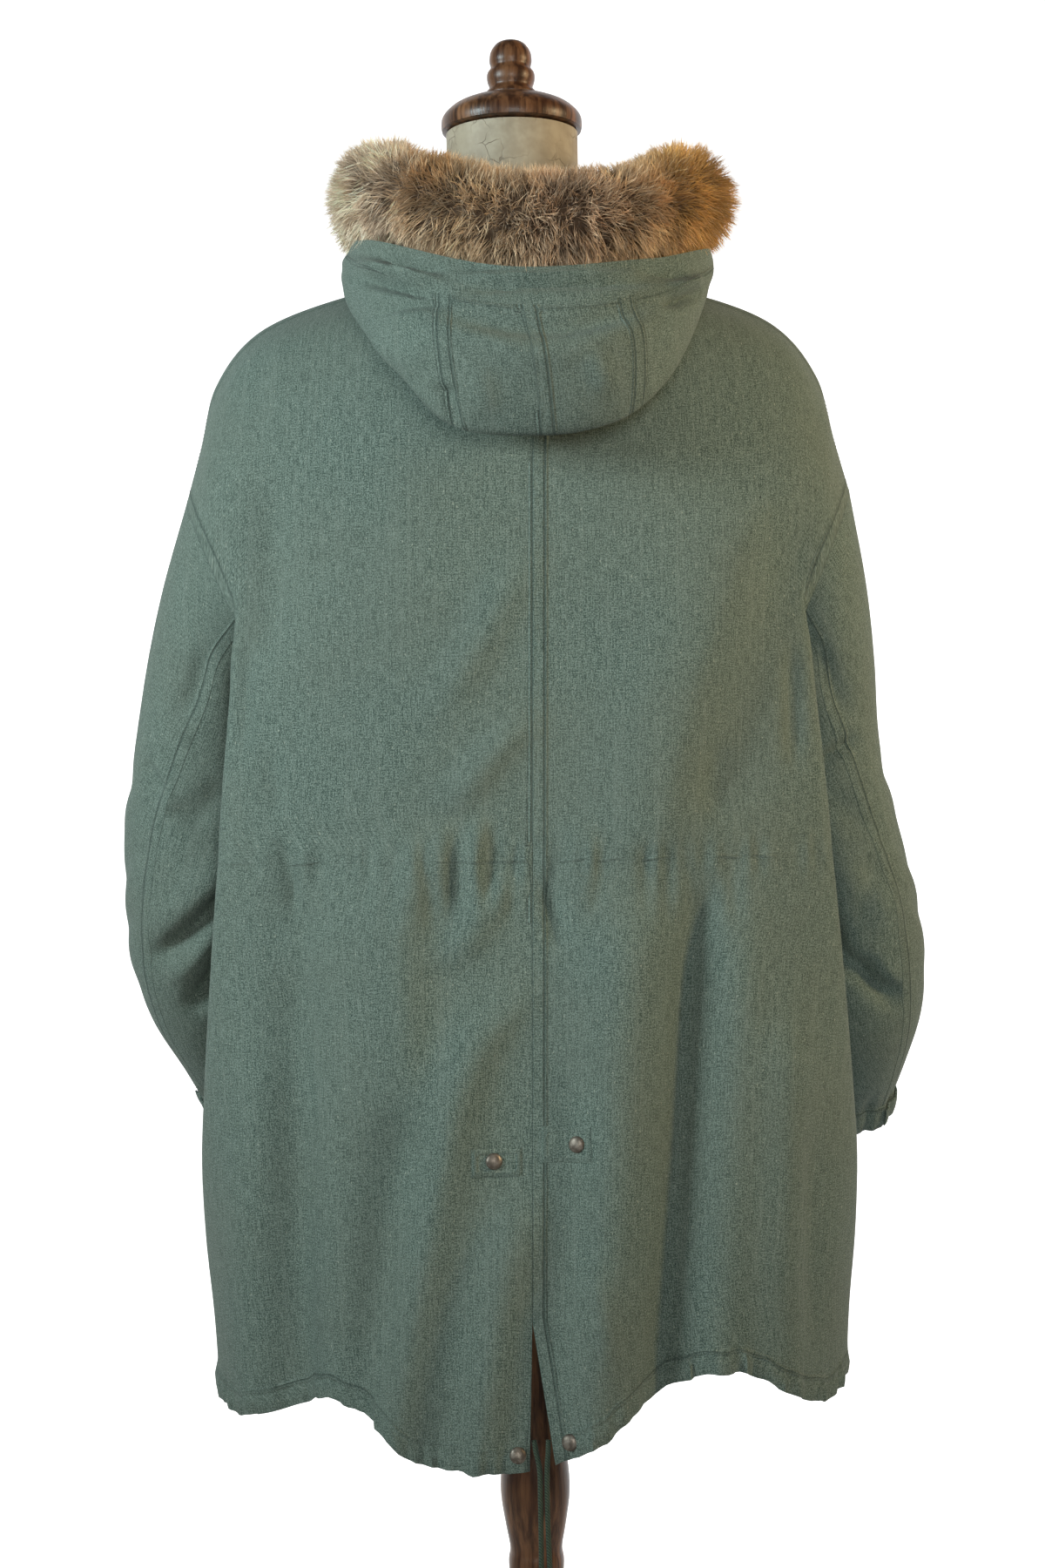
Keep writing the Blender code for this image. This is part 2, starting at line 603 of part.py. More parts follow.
def ruff_seat(turn):
    """Where the hood's rim meets the ruff from below."""
    turns = np.linspace(-1, 1, HOOD_COLUMN_TURNS + 1)
    centres, radii, outward, heading = ruff_line(turns)
    index = int(np.argmin(np.abs(turns - turn)))
    direction = heading[index] / np.linalg.norm(heading[index])
    rise = np.cross(outward[index], direction)
    if rise[2] < 0:
        rise = -rise
    lean = math.radians(RIM_LEAN)
    reach = radii[index] + RIM_GAP
    return centres[index] + reach * (math.cos(lean) * outward[index] - math.sin(lean) * rise)


# The hood hangs open on the back. Each row is a section from one front edge round to the other:
# neck seam angle, the fold it hangs to, and how far the outer wall swells up to the ruff.
HOOD_COLUMNS = ("turn", "neck_turn", "fold_x", "fold_y", "fold_z", "swell")
HOOD_SECTIONS = (
    (-1.00, -172, -0.050, 0.128, 1.412, 0.004),
    (-0.80, -135, -0.122, 0.074, 1.450, 0.006),
    (-0.60, -95, -0.140, -0.020, 1.466, 0.008),
    (-0.42, -65, -0.138, -0.104, 1.420, 0.008),
    (-0.26, -38, -0.092, -0.178, 1.350, 0.017),
    (-0.12, -16, -0.048, -0.197, 1.306, 0.029),
    (0.00, 2, 0.020, -0.200, 1.298, 0.030),
    (0.12, 18, 0.078, -0.196, 1.308, 0.028),
    (0.26, 40, 0.122, -0.172, 1.344, 0.014),
    (0.42, 66, 0.154, -0.104, 1.410, 0.008),
    (0.60, 95, 0.158, -0.020, 1.4605, 0.008),
    (0.80, 135, 0.128, 0.074, 1.4485, 0.006),
    (1.00, 172, 0.050, 0.128, 1.412, 0.004),
)
HOOD_COLUMN_TURNS = 24
HOOD_FINE_STEPS = 120
HOOD_LOW_ROWS = 9
HOOD_BAND_ROWS = 2
HOOD_BAND_SHARE = 0.87
HOOD_SEAM_GAP = 0.0016
HOOD_SIDE_COLUMNS = (10, 12, 15)
HOOD_NECK_EASE = 0.002
NECK_SIDE_Z = 1.470
NECK_BACK_Z = 1.480
NECK_FRONT_Z = 1.420
HOOD_NECK_LIFT = 0.0034
HOOD_INNER_SHARE = 0.55
HOOD_OUTER_SHARE = 0.45
HOOD_INNER_LIFT = 0.12
HOOD_INNER_OUT = 0.08


def neck_point(angle):
    """The neck seam just above the neckline, by degrees from the centre back."""
    turn = math.radians(angle)
    front = max(0.0, -math.cos(turn))
    depth = NECK_BACK_DEPTH if front == 0 else NECK_FRONT_DEPTH
    depth += HOOD_NECK_EASE
    width = NECK_HALF_WIDTH + HOOD_NECK_EASE
    high = NECK_SIDE_Z + (NECK_BACK_Z - NECK_SIDE_Z) * max(0.0, math.cos(turn)) ** 2
    z = high + (NECK_FRONT_Z - NECK_SIDE_Z) * front ** 1.6
    return np.array((width * math.sin(turn), -depth * math.cos(turn), z + HOOD_NECK_LIFT))


def hood_section(turn, source):
    """Points of one hood section, from the neck seam down to the fold and up to the rim."""
    read = {name: float(smooth(source["turn"], source[name], np.array([turn]))[0])
            for name in HOOD_COLUMNS[1:]}
    neck = neck_point(read["neck_turn"])
    fold = np.array((read["fold_x"], read["fold_y"], read["fold_z"]))
    rim = ruff_seat(turn)
    out = np.array((fold[0], fold[1], 0.0))
    out /= np.linalg.norm(out)
    drop = neck[2] - fold[2]
    inner = neck + HOOD_INNER_SHARE * (fold - neck) + HOOD_INNER_OUT * drop * out
    inner[2] += HOOD_INNER_LIFT * drop
    outer = fold + HOOD_OUTER_SHARE * (rim - fold) + read["swell"] * out
    return np.array((neck, inner, fold, outer, rim))


def hood_grid():
    """The whole hood as a grid: rows from the neck seam to the rim, columns left to right."""
    source = table(HOOD_COLUMNS, HOOD_SECTIONS)
    columns = []
    for turn in np.linspace(-1, 1, HOOD_COLUMN_TURNS + 1):
        controls = hood_section(turn, source)
        fine = spread(controls, 0, 4, HOOD_FINE_STEPS)
        shares = np.concatenate([np.linspace(0, HOOD_BAND_SHARE, HOOD_LOW_ROWS + 1),
                                 np.linspace(HOOD_BAND_SHARE, 1, HOOD_BAND_ROWS + 1)[1:]])
        columns.append([fine[int(round(share * HOOD_FINE_STEPS))] for share in shares])
    return np.array(columns).transpose(1, 0, 2)


def make_hood(look):
    points = hood_grid()
    normals = grid_normals(points)
    cuts = (0, *HOOD_SIDE_COLUMNS, HOOD_COLUMN_TURNS)
    names = ("hood_side_left", "hood_crown_left", "hood_crown_right", "hood_side_right")
    low = slice(0, HOOD_LOW_ROWS + 1)
    high = slice(HOOD_LOW_ROWS, HOOD_LOW_ROWS + HOOD_BAND_ROWS + 1)
    for name, first, last in zip(names, cuts, cuts[1:]):
        columns = slice(first, last + 1)
        shell(name, points[low, columns], normals[low, columns], look, gap=HOOD_SEAM_GAP)
    middle = HOOD_SIDE_COLUMNS[1]
    for name, columns in (("hood_band_left", slice(0, middle + 1)),
                          ("hood_band_right", slice(middle, HOOD_COLUMN_TURNS + 1))):
        shell(name, points[high, columns], normals[high, columns], look)
    return points


def sweep(name, centres, radii, sides, look, squash=1.0):
    """A closed round solid along a line of centres, with its ends drawn to a rounded tip."""
    centres = np.asarray(centres)
    heading = np.gradient(centres, axis=0)
    heading /= np.linalg.norm(heading, axis=1, keepdims=True)
    vertices = []
    faces = []
    up = np.array((0.0, 0.0, 1.0))
    for centre, direction, radius in zip(centres, heading, radii):
        across = np.cross(direction, up)
        across /= np.linalg.norm(across)
        rise = np.cross(across, direction)
        for step in range(sides):
            angle = 2 * math.pi * step / sides
            vertices.append(centre + radius * (math.cos(angle) * across + squash * math.sin(angle) * rise))
    for ring in range(len(centres) - 1):
        for step in range(sides):
            following = (step + 1) % sides
            faces.append((ring * sides + step, ring * sides + following,
                          (ring + 1) * sides + following, (ring + 1) * sides + step))
    faces.append(tuple(reversed(range(sides))))
    last = (len(centres) - 1) * sides
    faces.append(tuple(last + step for step in range(sides)))
    return add_object(name, vertices, [tuple(reversed(face)) for face in faces], look, 60)


def make_ruff(look):
    centres, radii, _, _ = ruff_line(np.linspace(-1, 1, HOOD_COLUMN_TURNS + 1))
    radii[0] *= RUFF_TIP
    radii[-1] *= RUFF_TIP
    sweep("fur_ruff", centres, radii, RUFF_SIDES, look)


# Dress form: superellipse rings, then a round neck.
FORM_COLUMNS = ("z", "half_width", "half_depth", "power")
FORM_RINGS = (
    (0.700, 0.148, 0.108, 2.2),
    (0.780, 0.166, 0.126, 2.2),
    (0.860, 0.166, 0.128, 2.2),
    (0.960, 0.142, 0.112, 2.2),
    (1.050, 0.128, 0.100, 2.2),
    (1.150, 0.144, 0.110, 2.2),
    (1.250, 0.164, 0.120, 2.3),
    (1.320, 0.180, 0.106, 2.4),
    (1.370, 0.198, 0.080, 2.3),
    (1.402, 0.200, 0.054, 2.2),
    (1.4327, 0.188, 0.030, 2.1),
    (1.4455, 0.142, 0.032, 2.0),
    (1.455, 0.098, 0.034, 2.0),
    (1.462, 0.066, 0.042, 2.0),
    (1.474, 0.058, 0.050, 2.0),
    (1.540, 0.058, 0.055, 2.0),
    (1.594, 0.058, 0.056, 2.0),
)
FORM_SIDES = 24

CAP_PROFILE = ((0.0, 1.5945), (0.061, 1.5945), (0.0625, 1.601), (0.0615, 1.609), (0.052, 1.618),
               (0.036, 1.6245), (0.0, 1.6245))
FINIAL_PROFILE = ((0.0, 1.6249), (0.0225, 1.6249), (0.0235, 1.630), (0.0185, 1.6345), (0.0212, 1.641),
                  (0.0212, 1.648), (0.0172, 1.6525), (0.0190, 1.658), (0.0180, 1.667), (0.0120, 1.675),
                  (0.0, 1.678))
POST_PROFILE = ((0.0, 0.0304), (0.030, 0.0304), (0.030, 0.045), (0.022, 0.056), (0.019, 0.100),
                (0.020, 0.280), (0.0245, 0.330), (0.0245, 0.338), (0.0225, 0.346), (0.0265, 0.366),
                (0.0310, 0.394), (0.0300, 0.418), (0.0225, 0.470), (0.0200, 0.540), (0.0200, 0.690),
                (0.030, 0.6997), (0.0, 0.6997))
BASE_PROFILE = ((0.0, 0.0), (0.190, 0.0), (0.195, 0.006), (0.195, 0.018), (0.182, 0.026),
                (0.050, 0.030), (0.0, 0.030))


def turned(name, profile, sides, look, centre=(0.0, 0.0)):
    """A solid of revolution; the profile runs from the axis below to the axis above."""
    vertices = [(centre[0], centre[1], profile[0][1])]
    for radius, z in profile[1:-1]:
        for step in range(sides):
            angle = 2 * math.pi * step / sides
            vertices.append((centre[0] + radius * math.cos(angle), centre[1] + radius * math.sin(angle), z))
    vertices.append((centre[0], centre[1], profile[-1][1]))
    top = len(vertices) - 1
    faces = []
    for step in range(sides):
        following = (step + 1) % sides
        faces.append((0, 1 + following, 1 + step))
        for ring in range(len(profile) - 3):
            start = 1 + ring * sides
            faces.append((start + step, start + following, start + sides + following, start + sides + step))
        start = 1 + (len(profile) - 3) * sides
        faces.append((start + step, start + following, top))
    return add_object(name, vertices, faces, look, 35)


def make_form(look):
    rings = []
    for z, half_width, half_depth, power in FORM_RINGS:
        ring = []
        for step in range(FORM_SIDES):
            angle = 2 * math.pi * step / FORM_SIDES
            cosine, sine = math.cos(angle), math.sin(angle)
            ring.append((half_width * math.copysign(abs(cosine) ** (2 / power), cosine),
                         half_depth * math.copysign(abs(sine) ** (2 / power), sine), z))
        rings.append(ring)
    vertices = [point for ring in rings for point in ring]
    faces = []
    for ring in range(len(rings) - 1):
        for step in range(FORM_SIDES):
            following = (step + 1) % FORM_SIDES
            faces.append((ring * FORM_SIDES + step, ring * FORM_SIDES + following,
                          (ring + 1) * FORM_SIDES + following, (ring + 1) * FORM_SIDES + step))
    faces.append(tuple(reversed(range(FORM_SIDES))))
    faces.append(tuple((len(rings) - 1) * FORM_SIDES + step for step in range(FORM_SIDES)))
    return add_object("form_torso", vertices, faces, look, 50)


class Cloth:
    """Rays onto a panel's outer face, for the pieces that lie on it."""

    def __init__(self, panels, names):
        self.trees = []
        for name in names:
            points = panels[name]
            rows, columns = points.shape[:2]
            vertices = [Vector(p) for p in points.reshape(-1, 3)]
            faces = []
            for row in range(rows - 1):
                for column in range(columns - 1):
                    at = row * columns + column
                    faces.append((at, at + 1, at + columns + 1, at + columns))
            self.trees.append(BVHTree.FromPolygons(vertices, faces))

    def hit(self, x, z, toward):
        for tree in self.trees:
            place, normal, _, _ = tree.ray_cast(Vector((x, toward, z)), Vector((0, -toward, 0)))
            if place is not None:
                if normal.y * toward < 0:
                    normal = -normal
                return np.array(place), np.array(normal)
        raise ValueError("no cloth at %.3f, %.3f" % (x, z))


def make_patch(name, cloth, xs, low, high, look):
    """A flat piece laid on the back, between a lower and an upper height."""
    hits = [[cloth.hit(x, z, -1) for x in xs] for z in (low, high)]
    points = np.array([[place for place, _ in line] for line in hits])
    normals = np.array([[normal for _, normal in line] for line in hits])
    outer = points + normals * (TAB_THICKNESS + LIE_GAP)
    shell(name, outer, normals, look, (), TAB_THICKNESS)
    return Cloth({name: outer}, (name,))


SNAP_PROFILE = ((0.0, 0.0), (0.0066, 0.0), (0.0066, 0.0012), (0.0052, 0.0026), (0.0, 0.0034))
SNAP_SIDES = 12
SNAP_LIFT = 0.0007


def make_snap(name, place, normal, look):
    """A domed cap standing on the cloth along its normal."""
    snap = turned(name, SNAP_PROFILE, SNAP_SIDES, look)
    snap.location = Vector(place)
    snap.rotation_mode = "QUATERNION"
    snap.rotation_quaternion = Vector(normal).to_track_quat("Z", "Y")
    return snap


TAB_THICKNESS = 0.0016
LEFT_TAB = ((-0.047, -0.038, -0.020, -0.006), 0.702, 0.725)
RIGHT_TAB = ((0.010, 0.030, 0.050), 0.713, 0.742)
LEFT_TAB_SNAP = (-0.029, 0.7148)
RIGHT_TAB_SNAP = (0.0384, 0.7275)
TAIL_SNAPS = (("snap_tail_left", -0.0135, 0.4815), ("snap_tail_right", 0.0285, 0.4920))
FLY_SHARE = 0.86
FLY_SNAP_X = 0.0125
FLY_SNAP_ZS = (1.275, 1.19, 1.035, 0.88, 0.725, 0.57)


def make_fly(panels, look):
    """The storm fly over the centre front, from the panels' own points moved out."""
    left = panels["front_left"][:-1]
    right = panels["front_right"][:-1]
    centre = right[:, -1]
    points = np.stack([centre + FLY_SHARE * (right[:, -2] - centre), centre,
                       centre + FLY_SHARE * (left[:, 1] - centre)], axis=1)
    normals = grid_normals(points)
    outer = points + normals * (WALL + LIE_GAP)
    shell("storm_fly", outer, normals, look, (), WALL)
    return Cloth({"storm_fly": outer}, ("storm_fly",))


def make_closures(panels, cloth_look, snap_look):
    back = Cloth(panels, ("back_left", "back_right"))
    for name, tab, snap_name, snap in (("snap_tab_left", LEFT_TAB, "snap_left", LEFT_TAB_SNAP),
                                       ("snap_tab_right", RIGHT_TAB, "snap_right", RIGHT_TAB_SNAP)):
        xs, low, high = tab
        patch = make_patch(name, back, xs, low, high, cloth_look)
        place, normal = patch.hit(snap[0], snap[1], -1)
        make_snap(snap_name, place + normal * SNAP_LIFT, normal, snap_look)
    for name, x, z in TAIL_SNAPS:
        place, normal = back.hit(x, z, -1)
        make_snap(name, place + normal * LIE_GAP, normal, snap_look)
    fly = make_fly(panels, cloth_look)
    for index, z in enumerate(FLY_SNAP_ZS):
        place, normal = fly.hit(FLY_SNAP_X, z, 1)
        make_snap("snap_front_%d" % (index + 1), place + normal * SNAP_LIFT, normal, snap_look)


CORD_RADIUS = 0.0021
CORDS = (
    ("drawcord_left", ((-0.0004, -0.1880, 0.4920), (0.0010, -0.1900, 0.4830), (0.0036, -0.1910, 0.4700),
                       (0.0040, -0.1910, 0.4400), (0.0038, -0.1910, 0.3900), (0.0030, -0.1910, 0.3300),
                       (0.0024, -0.1910, 0.2900))),
    ("drawcord_right", ((0.0112, -0.1880, 0.4920), (0.0108, -0.1900, 0.4830), (0.0098, -0.1910, 0.4700),
                        (0.0095, -0.1910, 0.4400), (0.0106, -0.1910, 0.3900), (0.0136, -0.1910, 0.3300),
                        (0.0160, -0.1910, 0.2850))),
)
CORD_POINTS = 24


def make_cord(name, route, look):
    controls = np.array(route)
    points = spread(controls, 0, len(controls) - 1, CORD_POINTS)
    curve = bpy.data.curves.new(name, "CURVE")
    curve.dimensions = "3D"
    curve.bevel_depth = CORD_RADIUS
    curve.bevel_resolution = 2
    curve.resolution_u = 1
    curve.render_resolution_u = 0
    curve.use_fill_caps = True
    line = curve.splines.new("POLY")
    line.points.add(len(points) - 1)
    for point, place in zip(line.points, points):
        point.co = (*(float(v) for v in place), 1.0)
    curve.materials.append(look)
    made = bpy.data.objects.new(name, curve)
    bpy.context.scene.collection.objects.link(made)
    return made


def main():
    clear_scene()
    cloth = material("cloth", CLOTH, 0.9)
    fur = material("fur", FUR, 0.95)
    linen = material("form_linen", LINEN, 0.8)
    wood = material("dark_wood", WOOD, 0.35)
    brass = material("aged_brass", BRASS, 0.45, 0.9)
    cord = material("cord", (0.03, 0.045, 0.025), 0.8)
    panels, normals = make_body()
    for side, side_name in ((-1, "left"), (1, "right")):
        make_sleeve(side, side_name, panels, normals, cloth)
    for name, points in panels.items():
        shell(name, points, normals[name], cloth)
    make_hood(cloth)
    make_ruff(fur)
    make_form(linen)
    turned("form_cap", CAP_PROFILE, 24, wood)
    turned("form_finial", FINIAL_PROFILE, 16, wood)
    turned("stand_post", POST_PROFILE, 16, wood)
    turned("stand_base", BASE_PROFILE, 32, wood)
    make_closures(panels, cloth, brass)
    for name, route in CORDS:
        make_cord(name, route, cord)
    for made in bpy.data.objects:
        made.location += Vector(ORIGIN_SHIFT)


main()
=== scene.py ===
import math

import bpy
import numpy as np
from mathutils import Matrix, Vector
from mathutils.bvhtree import BVHTree


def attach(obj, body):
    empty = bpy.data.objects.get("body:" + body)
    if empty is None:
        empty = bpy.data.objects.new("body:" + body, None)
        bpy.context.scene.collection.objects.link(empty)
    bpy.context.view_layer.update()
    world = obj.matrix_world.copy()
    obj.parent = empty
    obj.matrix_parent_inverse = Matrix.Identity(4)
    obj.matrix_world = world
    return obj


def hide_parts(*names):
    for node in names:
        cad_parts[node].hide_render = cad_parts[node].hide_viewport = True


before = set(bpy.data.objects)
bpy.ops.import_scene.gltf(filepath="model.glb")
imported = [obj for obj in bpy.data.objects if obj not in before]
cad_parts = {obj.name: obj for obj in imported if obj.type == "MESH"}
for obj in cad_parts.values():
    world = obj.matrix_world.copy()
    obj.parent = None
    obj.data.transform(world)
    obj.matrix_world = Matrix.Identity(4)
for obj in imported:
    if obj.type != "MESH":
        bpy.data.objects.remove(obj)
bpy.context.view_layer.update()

# Metres, +Z up; the tables of sections, rings, stations, folds, profiles and cords are in millimetres.
# The coat's back faces -Y and its left is at -X.
# Shapes are worked out about the form's axis and moved by ORIGIN_SHIFT at the end.
ORIGIN_SHIFT = np.array((-0.0009, 0.0175, 0.0))
WALL = 0.0013
UNDERARM_Z = 1.100
ARMHOLE_CENTRE = (0.2530, 0.0, 1.187)
ARMHOLE_RISE = (0.0380, 0.087)
ARMHOLE_DEPTH = 0.087

VENT_TOP_Z = 0.586
VENT_LOW_Z = 0.470
VENT_SPREAD_LEFT = -0.004
VENT_SPREAD_RIGHT = 0.017
SEAM_DRIFT = 0.013
SEAM_DRIFT_Z = 1.32

# Half sections of the skirt, by height: from the centre back round to the side seam.
LEVEL_COLUMNS = ("z", "centre_y", "mid_x", "mid_y", "wing_x", "wing_y", "tip_x", "tip_y",
                 "tuck_x", "tuck_y", "side_x", "side_y")
BACK_LEVELS = (
    (440, -190, 122, -173, 228, -104, 268, -40, 268, 5, 258, 44),
    (560, -186, 124, -171, 234, -108, 274, -40, 275, 5, 262, 44),
    (630, -181, 125, -168, 240, -112, 281, -40, 281, 5, 264, 42),
    (700, -175, 124, -164, 240, -113, 283, -48, 276, -5, 252, 34),
    (760, -168, 122, -159, 238, -113, 279, -58, 266, -24, 228, 14),
    (870, -156, 118, -150, 230, -112, 269, -78, 236, -52, 198, 0),
    (950, -150, 114, -146, 223, -112, 262, -84, 228, -58, 194, 0),
    (1020, -151, 112, -147, 218, -113, 256, -87, 226, -60, 197, 0),
    (1100, -152, 110, -148, 213, -115, 248, -90, 222, -56, 215, 0),
)

# The same for the front, from the centre front round to the side, with the first columns alone.
FRONT_LEVELS = (
    (440, 186, 122, 168, 224, 106, 249, 75),
    (560, 182, 125, 165, 226, 108, 253, 76),
    (630, 176, 125, 160, 225, 108, 255, 75),
    (700, 168, 120, 153, 200, 103, 232, 68),
    (760, 160, 115, 148, 178, 98, 206, 56),
    (870, 148, 110, 140, 174, 92, 192, 48),
    (950, 144, 110, 136, 174, 90, 190, 45),
    (1020, 147, 110, 140, 178, 92, 193, 45),
    (1100, 150, 110, 143, 195, 95, 213, 45),
)

# Rows from the underarm up to the neckline and shoulder seam, by angle round the armhole.
UPPER_COLUMNS = ("angle", "centre_y", "centre_z", "mid_x", "mid_y", "mid_z", "wing_x", "wing_y",
                 "wing_z", "tip_x", "tip_y", "tip_z")
UPPER_BACK = (
    (-90, -152, 1100, 110, -148, 1100, 213, -115, 1100, 248, -90, 1100),
    (-45, -152, 1135, 110, -149, 1132, 213, -116, 1130, 246, -92, 1128),
    (0, -153, 1205, 110, -150, 1200, 213, -114, 1195, 240, -99, 1192),
    (45, -139, 1352, 110, -130, 1345, 222, -100, 1315, 262, -79, 1285),
    (70, -117, 1430, 100, -85, 1425, 225.5, -54, 1391, 265.5, -42, 1338),
    (90, -78, 1478, 88, 0, 1468, 225.5, 0, 1423.5, 265.5, 0, 1375.5),
)
UPPER_FRONT = (
    (-90, 150, 1100, 110, 143, 1100, 195, 95, 1100, 213, 45, 1100),
    (-45, 151, 1140, 110, 144, 1135, 201, 103, 1130, 216, 83, 1128),
    (0, 152, 1200, 110, 145, 1200, 210, 112, 1195, 238, 99, 1192),
    (45, 142, 1305, 110, 128, 1330, 222, 97, 1315, 262.5, 77, 1285),
    (70, 118, 1365, 100, 83, 1410, 225.5, 53, 1391, 265.5, 42, 1338),
    (90, 82, 1405, 88, 0, 1468, 225.5, 0, 1423.5, 265.5, 0, 1375.5),
)

# Height of the hem, by turn in degrees from the centre back round to the centre front.
HEM_LEFT = (
    (0, 0.467), (14, 0.469), (20, 0.476), (26, 0.498), (31, 0.513), (36, 0.520), (42, 0.516),
    (50, 0.503), (58, 0.494), (68, 0.492), (77, 0.497), (90, 0.503), (115, 0.506), (180, 0.508),
)
HEM_RIGHT = (
    (0, 0.474), (6, 0.484), (11, 0.496), (16, 0.511), (22, 0.524), (30, 0.537), (37, 0.536),
    (42, 0.527), (48, 0.512), (56, 0.499), (65, 0.494), (74, 0.499), (90, 0.506), (180, 0.508),
)
SHOULDER_INNER_X = 0.084
NECK_HALF_WIDTH = 0.088
NECK_BACK_DEPTH = 0.078
NECK_FRONT_DEPTH = 0.082
HEM_HALF_WIDTH = 0.268
HEM_HALF_DEPTH = 0.190

# Largest folds: a line down the cloth, its half width, and how far it stands out (or in).
# Columns: -1 back or 1 front, top X and Z, low X and Z, half width, height.
FOLDS = (
    (-1, -196, 1020, -200, 500, 22, -12),
    (-1, -150, 980, -158, 500, 30, 9),
    (-1, -34, 880, -98, 560, 26, 10),
    (-1, -80, 840, -128, 550, 22, -9),
    (-1, -4, 720, -34, 540, 20, 7),
    (-1, 90, 1000, 50, 520, 34, 10),
    (-1, 152, 980, 107, 520, 24, -13),
    (-1, 185, 960, 150, 500, 24, 8),
    (-1, 215, 920, 212, 500, 26, 6),
    (1, -170, 1000, -176, 500, 24, -10),
    (1, -100, 920, -104, 500, 30, 9),
    (1, 90, 940, 108, 500, 30, 9),
    (1, 160, 1000, 170, 500, 24, -10),
)
FOLD_FADE = 0.14
CREASE_RISE = 1.5
CREASE_FADE = 0.35
RIDGE_RISE = 1.5
RIDGE_FADE = 0.06
HEM_WAVE = 0.0016

# Sleeve rings from the armhole to the wrist: centre, half sizes, tilts and twist in degrees.
SLEEVE_COLUMNS = ("x", "y", "z", "half_width", "half_depth", "roll", "pitch", "twist")
SLEEVE_LEFT = (
    (270, 4, 1142, 70, 83, 50, 0, 6),
    (275.5, 10, 1096, 64.5, 77, 30, 0, 16),
    (280, 16, 1042, 66, 74, 12, 0, 32),
    (285, 22, 985, 70, 74, 3, 0, 46),
    (288, 32, 930, 71, 74, 0, 8, 55),
    (288, 52, 880, 70, 72, -4, 22, 60),
    (283, 80, 838, 64, 65, -10, 34, 62),
    (274, 110, 798, 55, 56, -14, 38, 64),
    (266, 136, 762, 47, 47, -14, 38, 64),
)
SLEEVE_RIGHT = (
    (263, 4, 1140, 66, 85, 50, 0, 6),
    (263, 10, 1094, 57.5, 77, 30, 0, 16),
    (264, 16, 1042, 54.5, 74, 14, 0, 32),
    (270, 22, 985, 60.5, 74, 4, 0, 46),
    (280, 30, 925, 70, 74, 0, 6, 55),
    (285, 44, 868, 74, 75, 0, 16, 60),
    (290, 70, 818, 70, 72, 0, 28, 62),
    (293, 104, 778, 59, 62, -4, 38, 64),
    (296, 134, 744, 48, 48, -8, 42, 64),
)

# Mesh steps at the back (-1) and front (1): columns from the centre to the wing and on to the side
# seam, and rows below and above the underarm.
COLUMN_STEPS = {-1: (60, 44), 1: (34, 26)}
ROW_STEPS = {-1: (124, 66), 1: (84, 44)}
SKIRT_LOW_Z = 0.44
SLEEVE_STEPS = 96
SLEEVE_ROWS = 120
NO_SEAM = 0.2
SIDES = ((-1, "left"), (1, "right"))
EDGES = ("left", "right", "low", "high")


def table(columns, rows, plain=()):
    """The columns of a table by name; the plain ones aren't in millimetres."""
    return {name: column / (1 if name in plain else 1000)
            for name, column in zip(columns, np.array(rows, dtype=float).T)}


def unit(vectors):
    return vectors / np.maximum(np.linalg.norm(vectors, axis=-1, keepdims=True), 1e-12)


def lengths(points):
    """How far along its line each point lies."""
    return np.concatenate([[0.0], np.cumsum(np.linalg.norm(np.diff(points, axis=0), axis=1))])


def full_turn(sides):
    return 2 * math.pi * np.arange(sides) / sides


def read_along(at, length, grid):
    """Points of a line, read at lengths along it."""
    return np.stack([np.interp(at, length, grid[:, axis]) for axis in range(3)], axis=1)


def smooth(knots, values, at):
    """A smooth curve through the values, read where asked."""
    knots = np.asarray(knots, dtype=float)
    values = np.asarray(values, dtype=float)
    if values.ndim == 1:
        return smooth(knots, values[:, None], at)[..., 0]
    at = np.clip(np.asarray(at, dtype=float), knots[0], knots[-1])
    steps = np.diff(knots)[:, None]
    chords = np.diff(values, axis=0) / steps
    slopes = np.empty_like(values)
    slopes[0] = chords[0]
    slopes[-1] = chords[-1]
    slopes[1:-1] = (chords[:-1] * steps[1:] + chords[1:] * steps[:-1]) / (steps[1:] + steps[:-1])
    index = np.clip(np.searchsorted(knots, at, side="right") - 1, 0, len(knots) - 2)
    width = steps[index, 0]
    u = ((at - knots[index]) / width)[..., None]
    width = width[..., None]
    return ((2 * u**3 - 3 * u**2 + 1) * values[index] + (u**3 - 2 * u**2 + u) * width * slopes[index]
            + (3 * u**2 - 2 * u**3) * values[index + 1] + (u**3 - u**2) * width * slopes[index + 1])


def ease(value):
    value = np.clip(value, 0.0, 1.0)
    return value * value * (3 - 2 * value)


def spread(controls, first, last, count):
    """Even points on the smooth curve through the controls, between two of them."""
    chord = np.linalg.norm(np.diff(controls, axis=0), axis=1) ** 0.5
    knots = np.concatenate([[0.0], np.cumsum(np.maximum(chord, 1e-6))])
    fine = smooth(knots, controls, np.linspace(knots[first], knots[last], 32 * (last - first) + 1))
    length = lengths(fine)
    return read_along(np.linspace(0.0, length[-1], count + 1), length, fine)


def half_ring(controls, counts):
    controls = np.array(controls, dtype=float)
    chain = np.vstack([controls[1] * np.array((-1, 1, 1)), controls])
    inner = spread(chain, 1, 3, counts[0])
    outer = spread(chain, 3, len(chain) - 1, counts[1])
    return np.vstack([inner, outer[1:]])


def armhole(angle, toward):
    """A point on the armhole loop; toward is -1 at the back and +1 at the front."""
    lift = math.sin(math.radians(angle))
    reach = math.cos(math.radians(angle))
    return (ARMHOLE_CENTRE[0] + ARMHOLE_RISE[0] * lift, ARMHOLE_CENTRE[1] + toward * ARMHOLE_DEPTH * reach,
            ARMHOLE_CENTRE[2] + ARMHOLE_RISE[1] * lift)


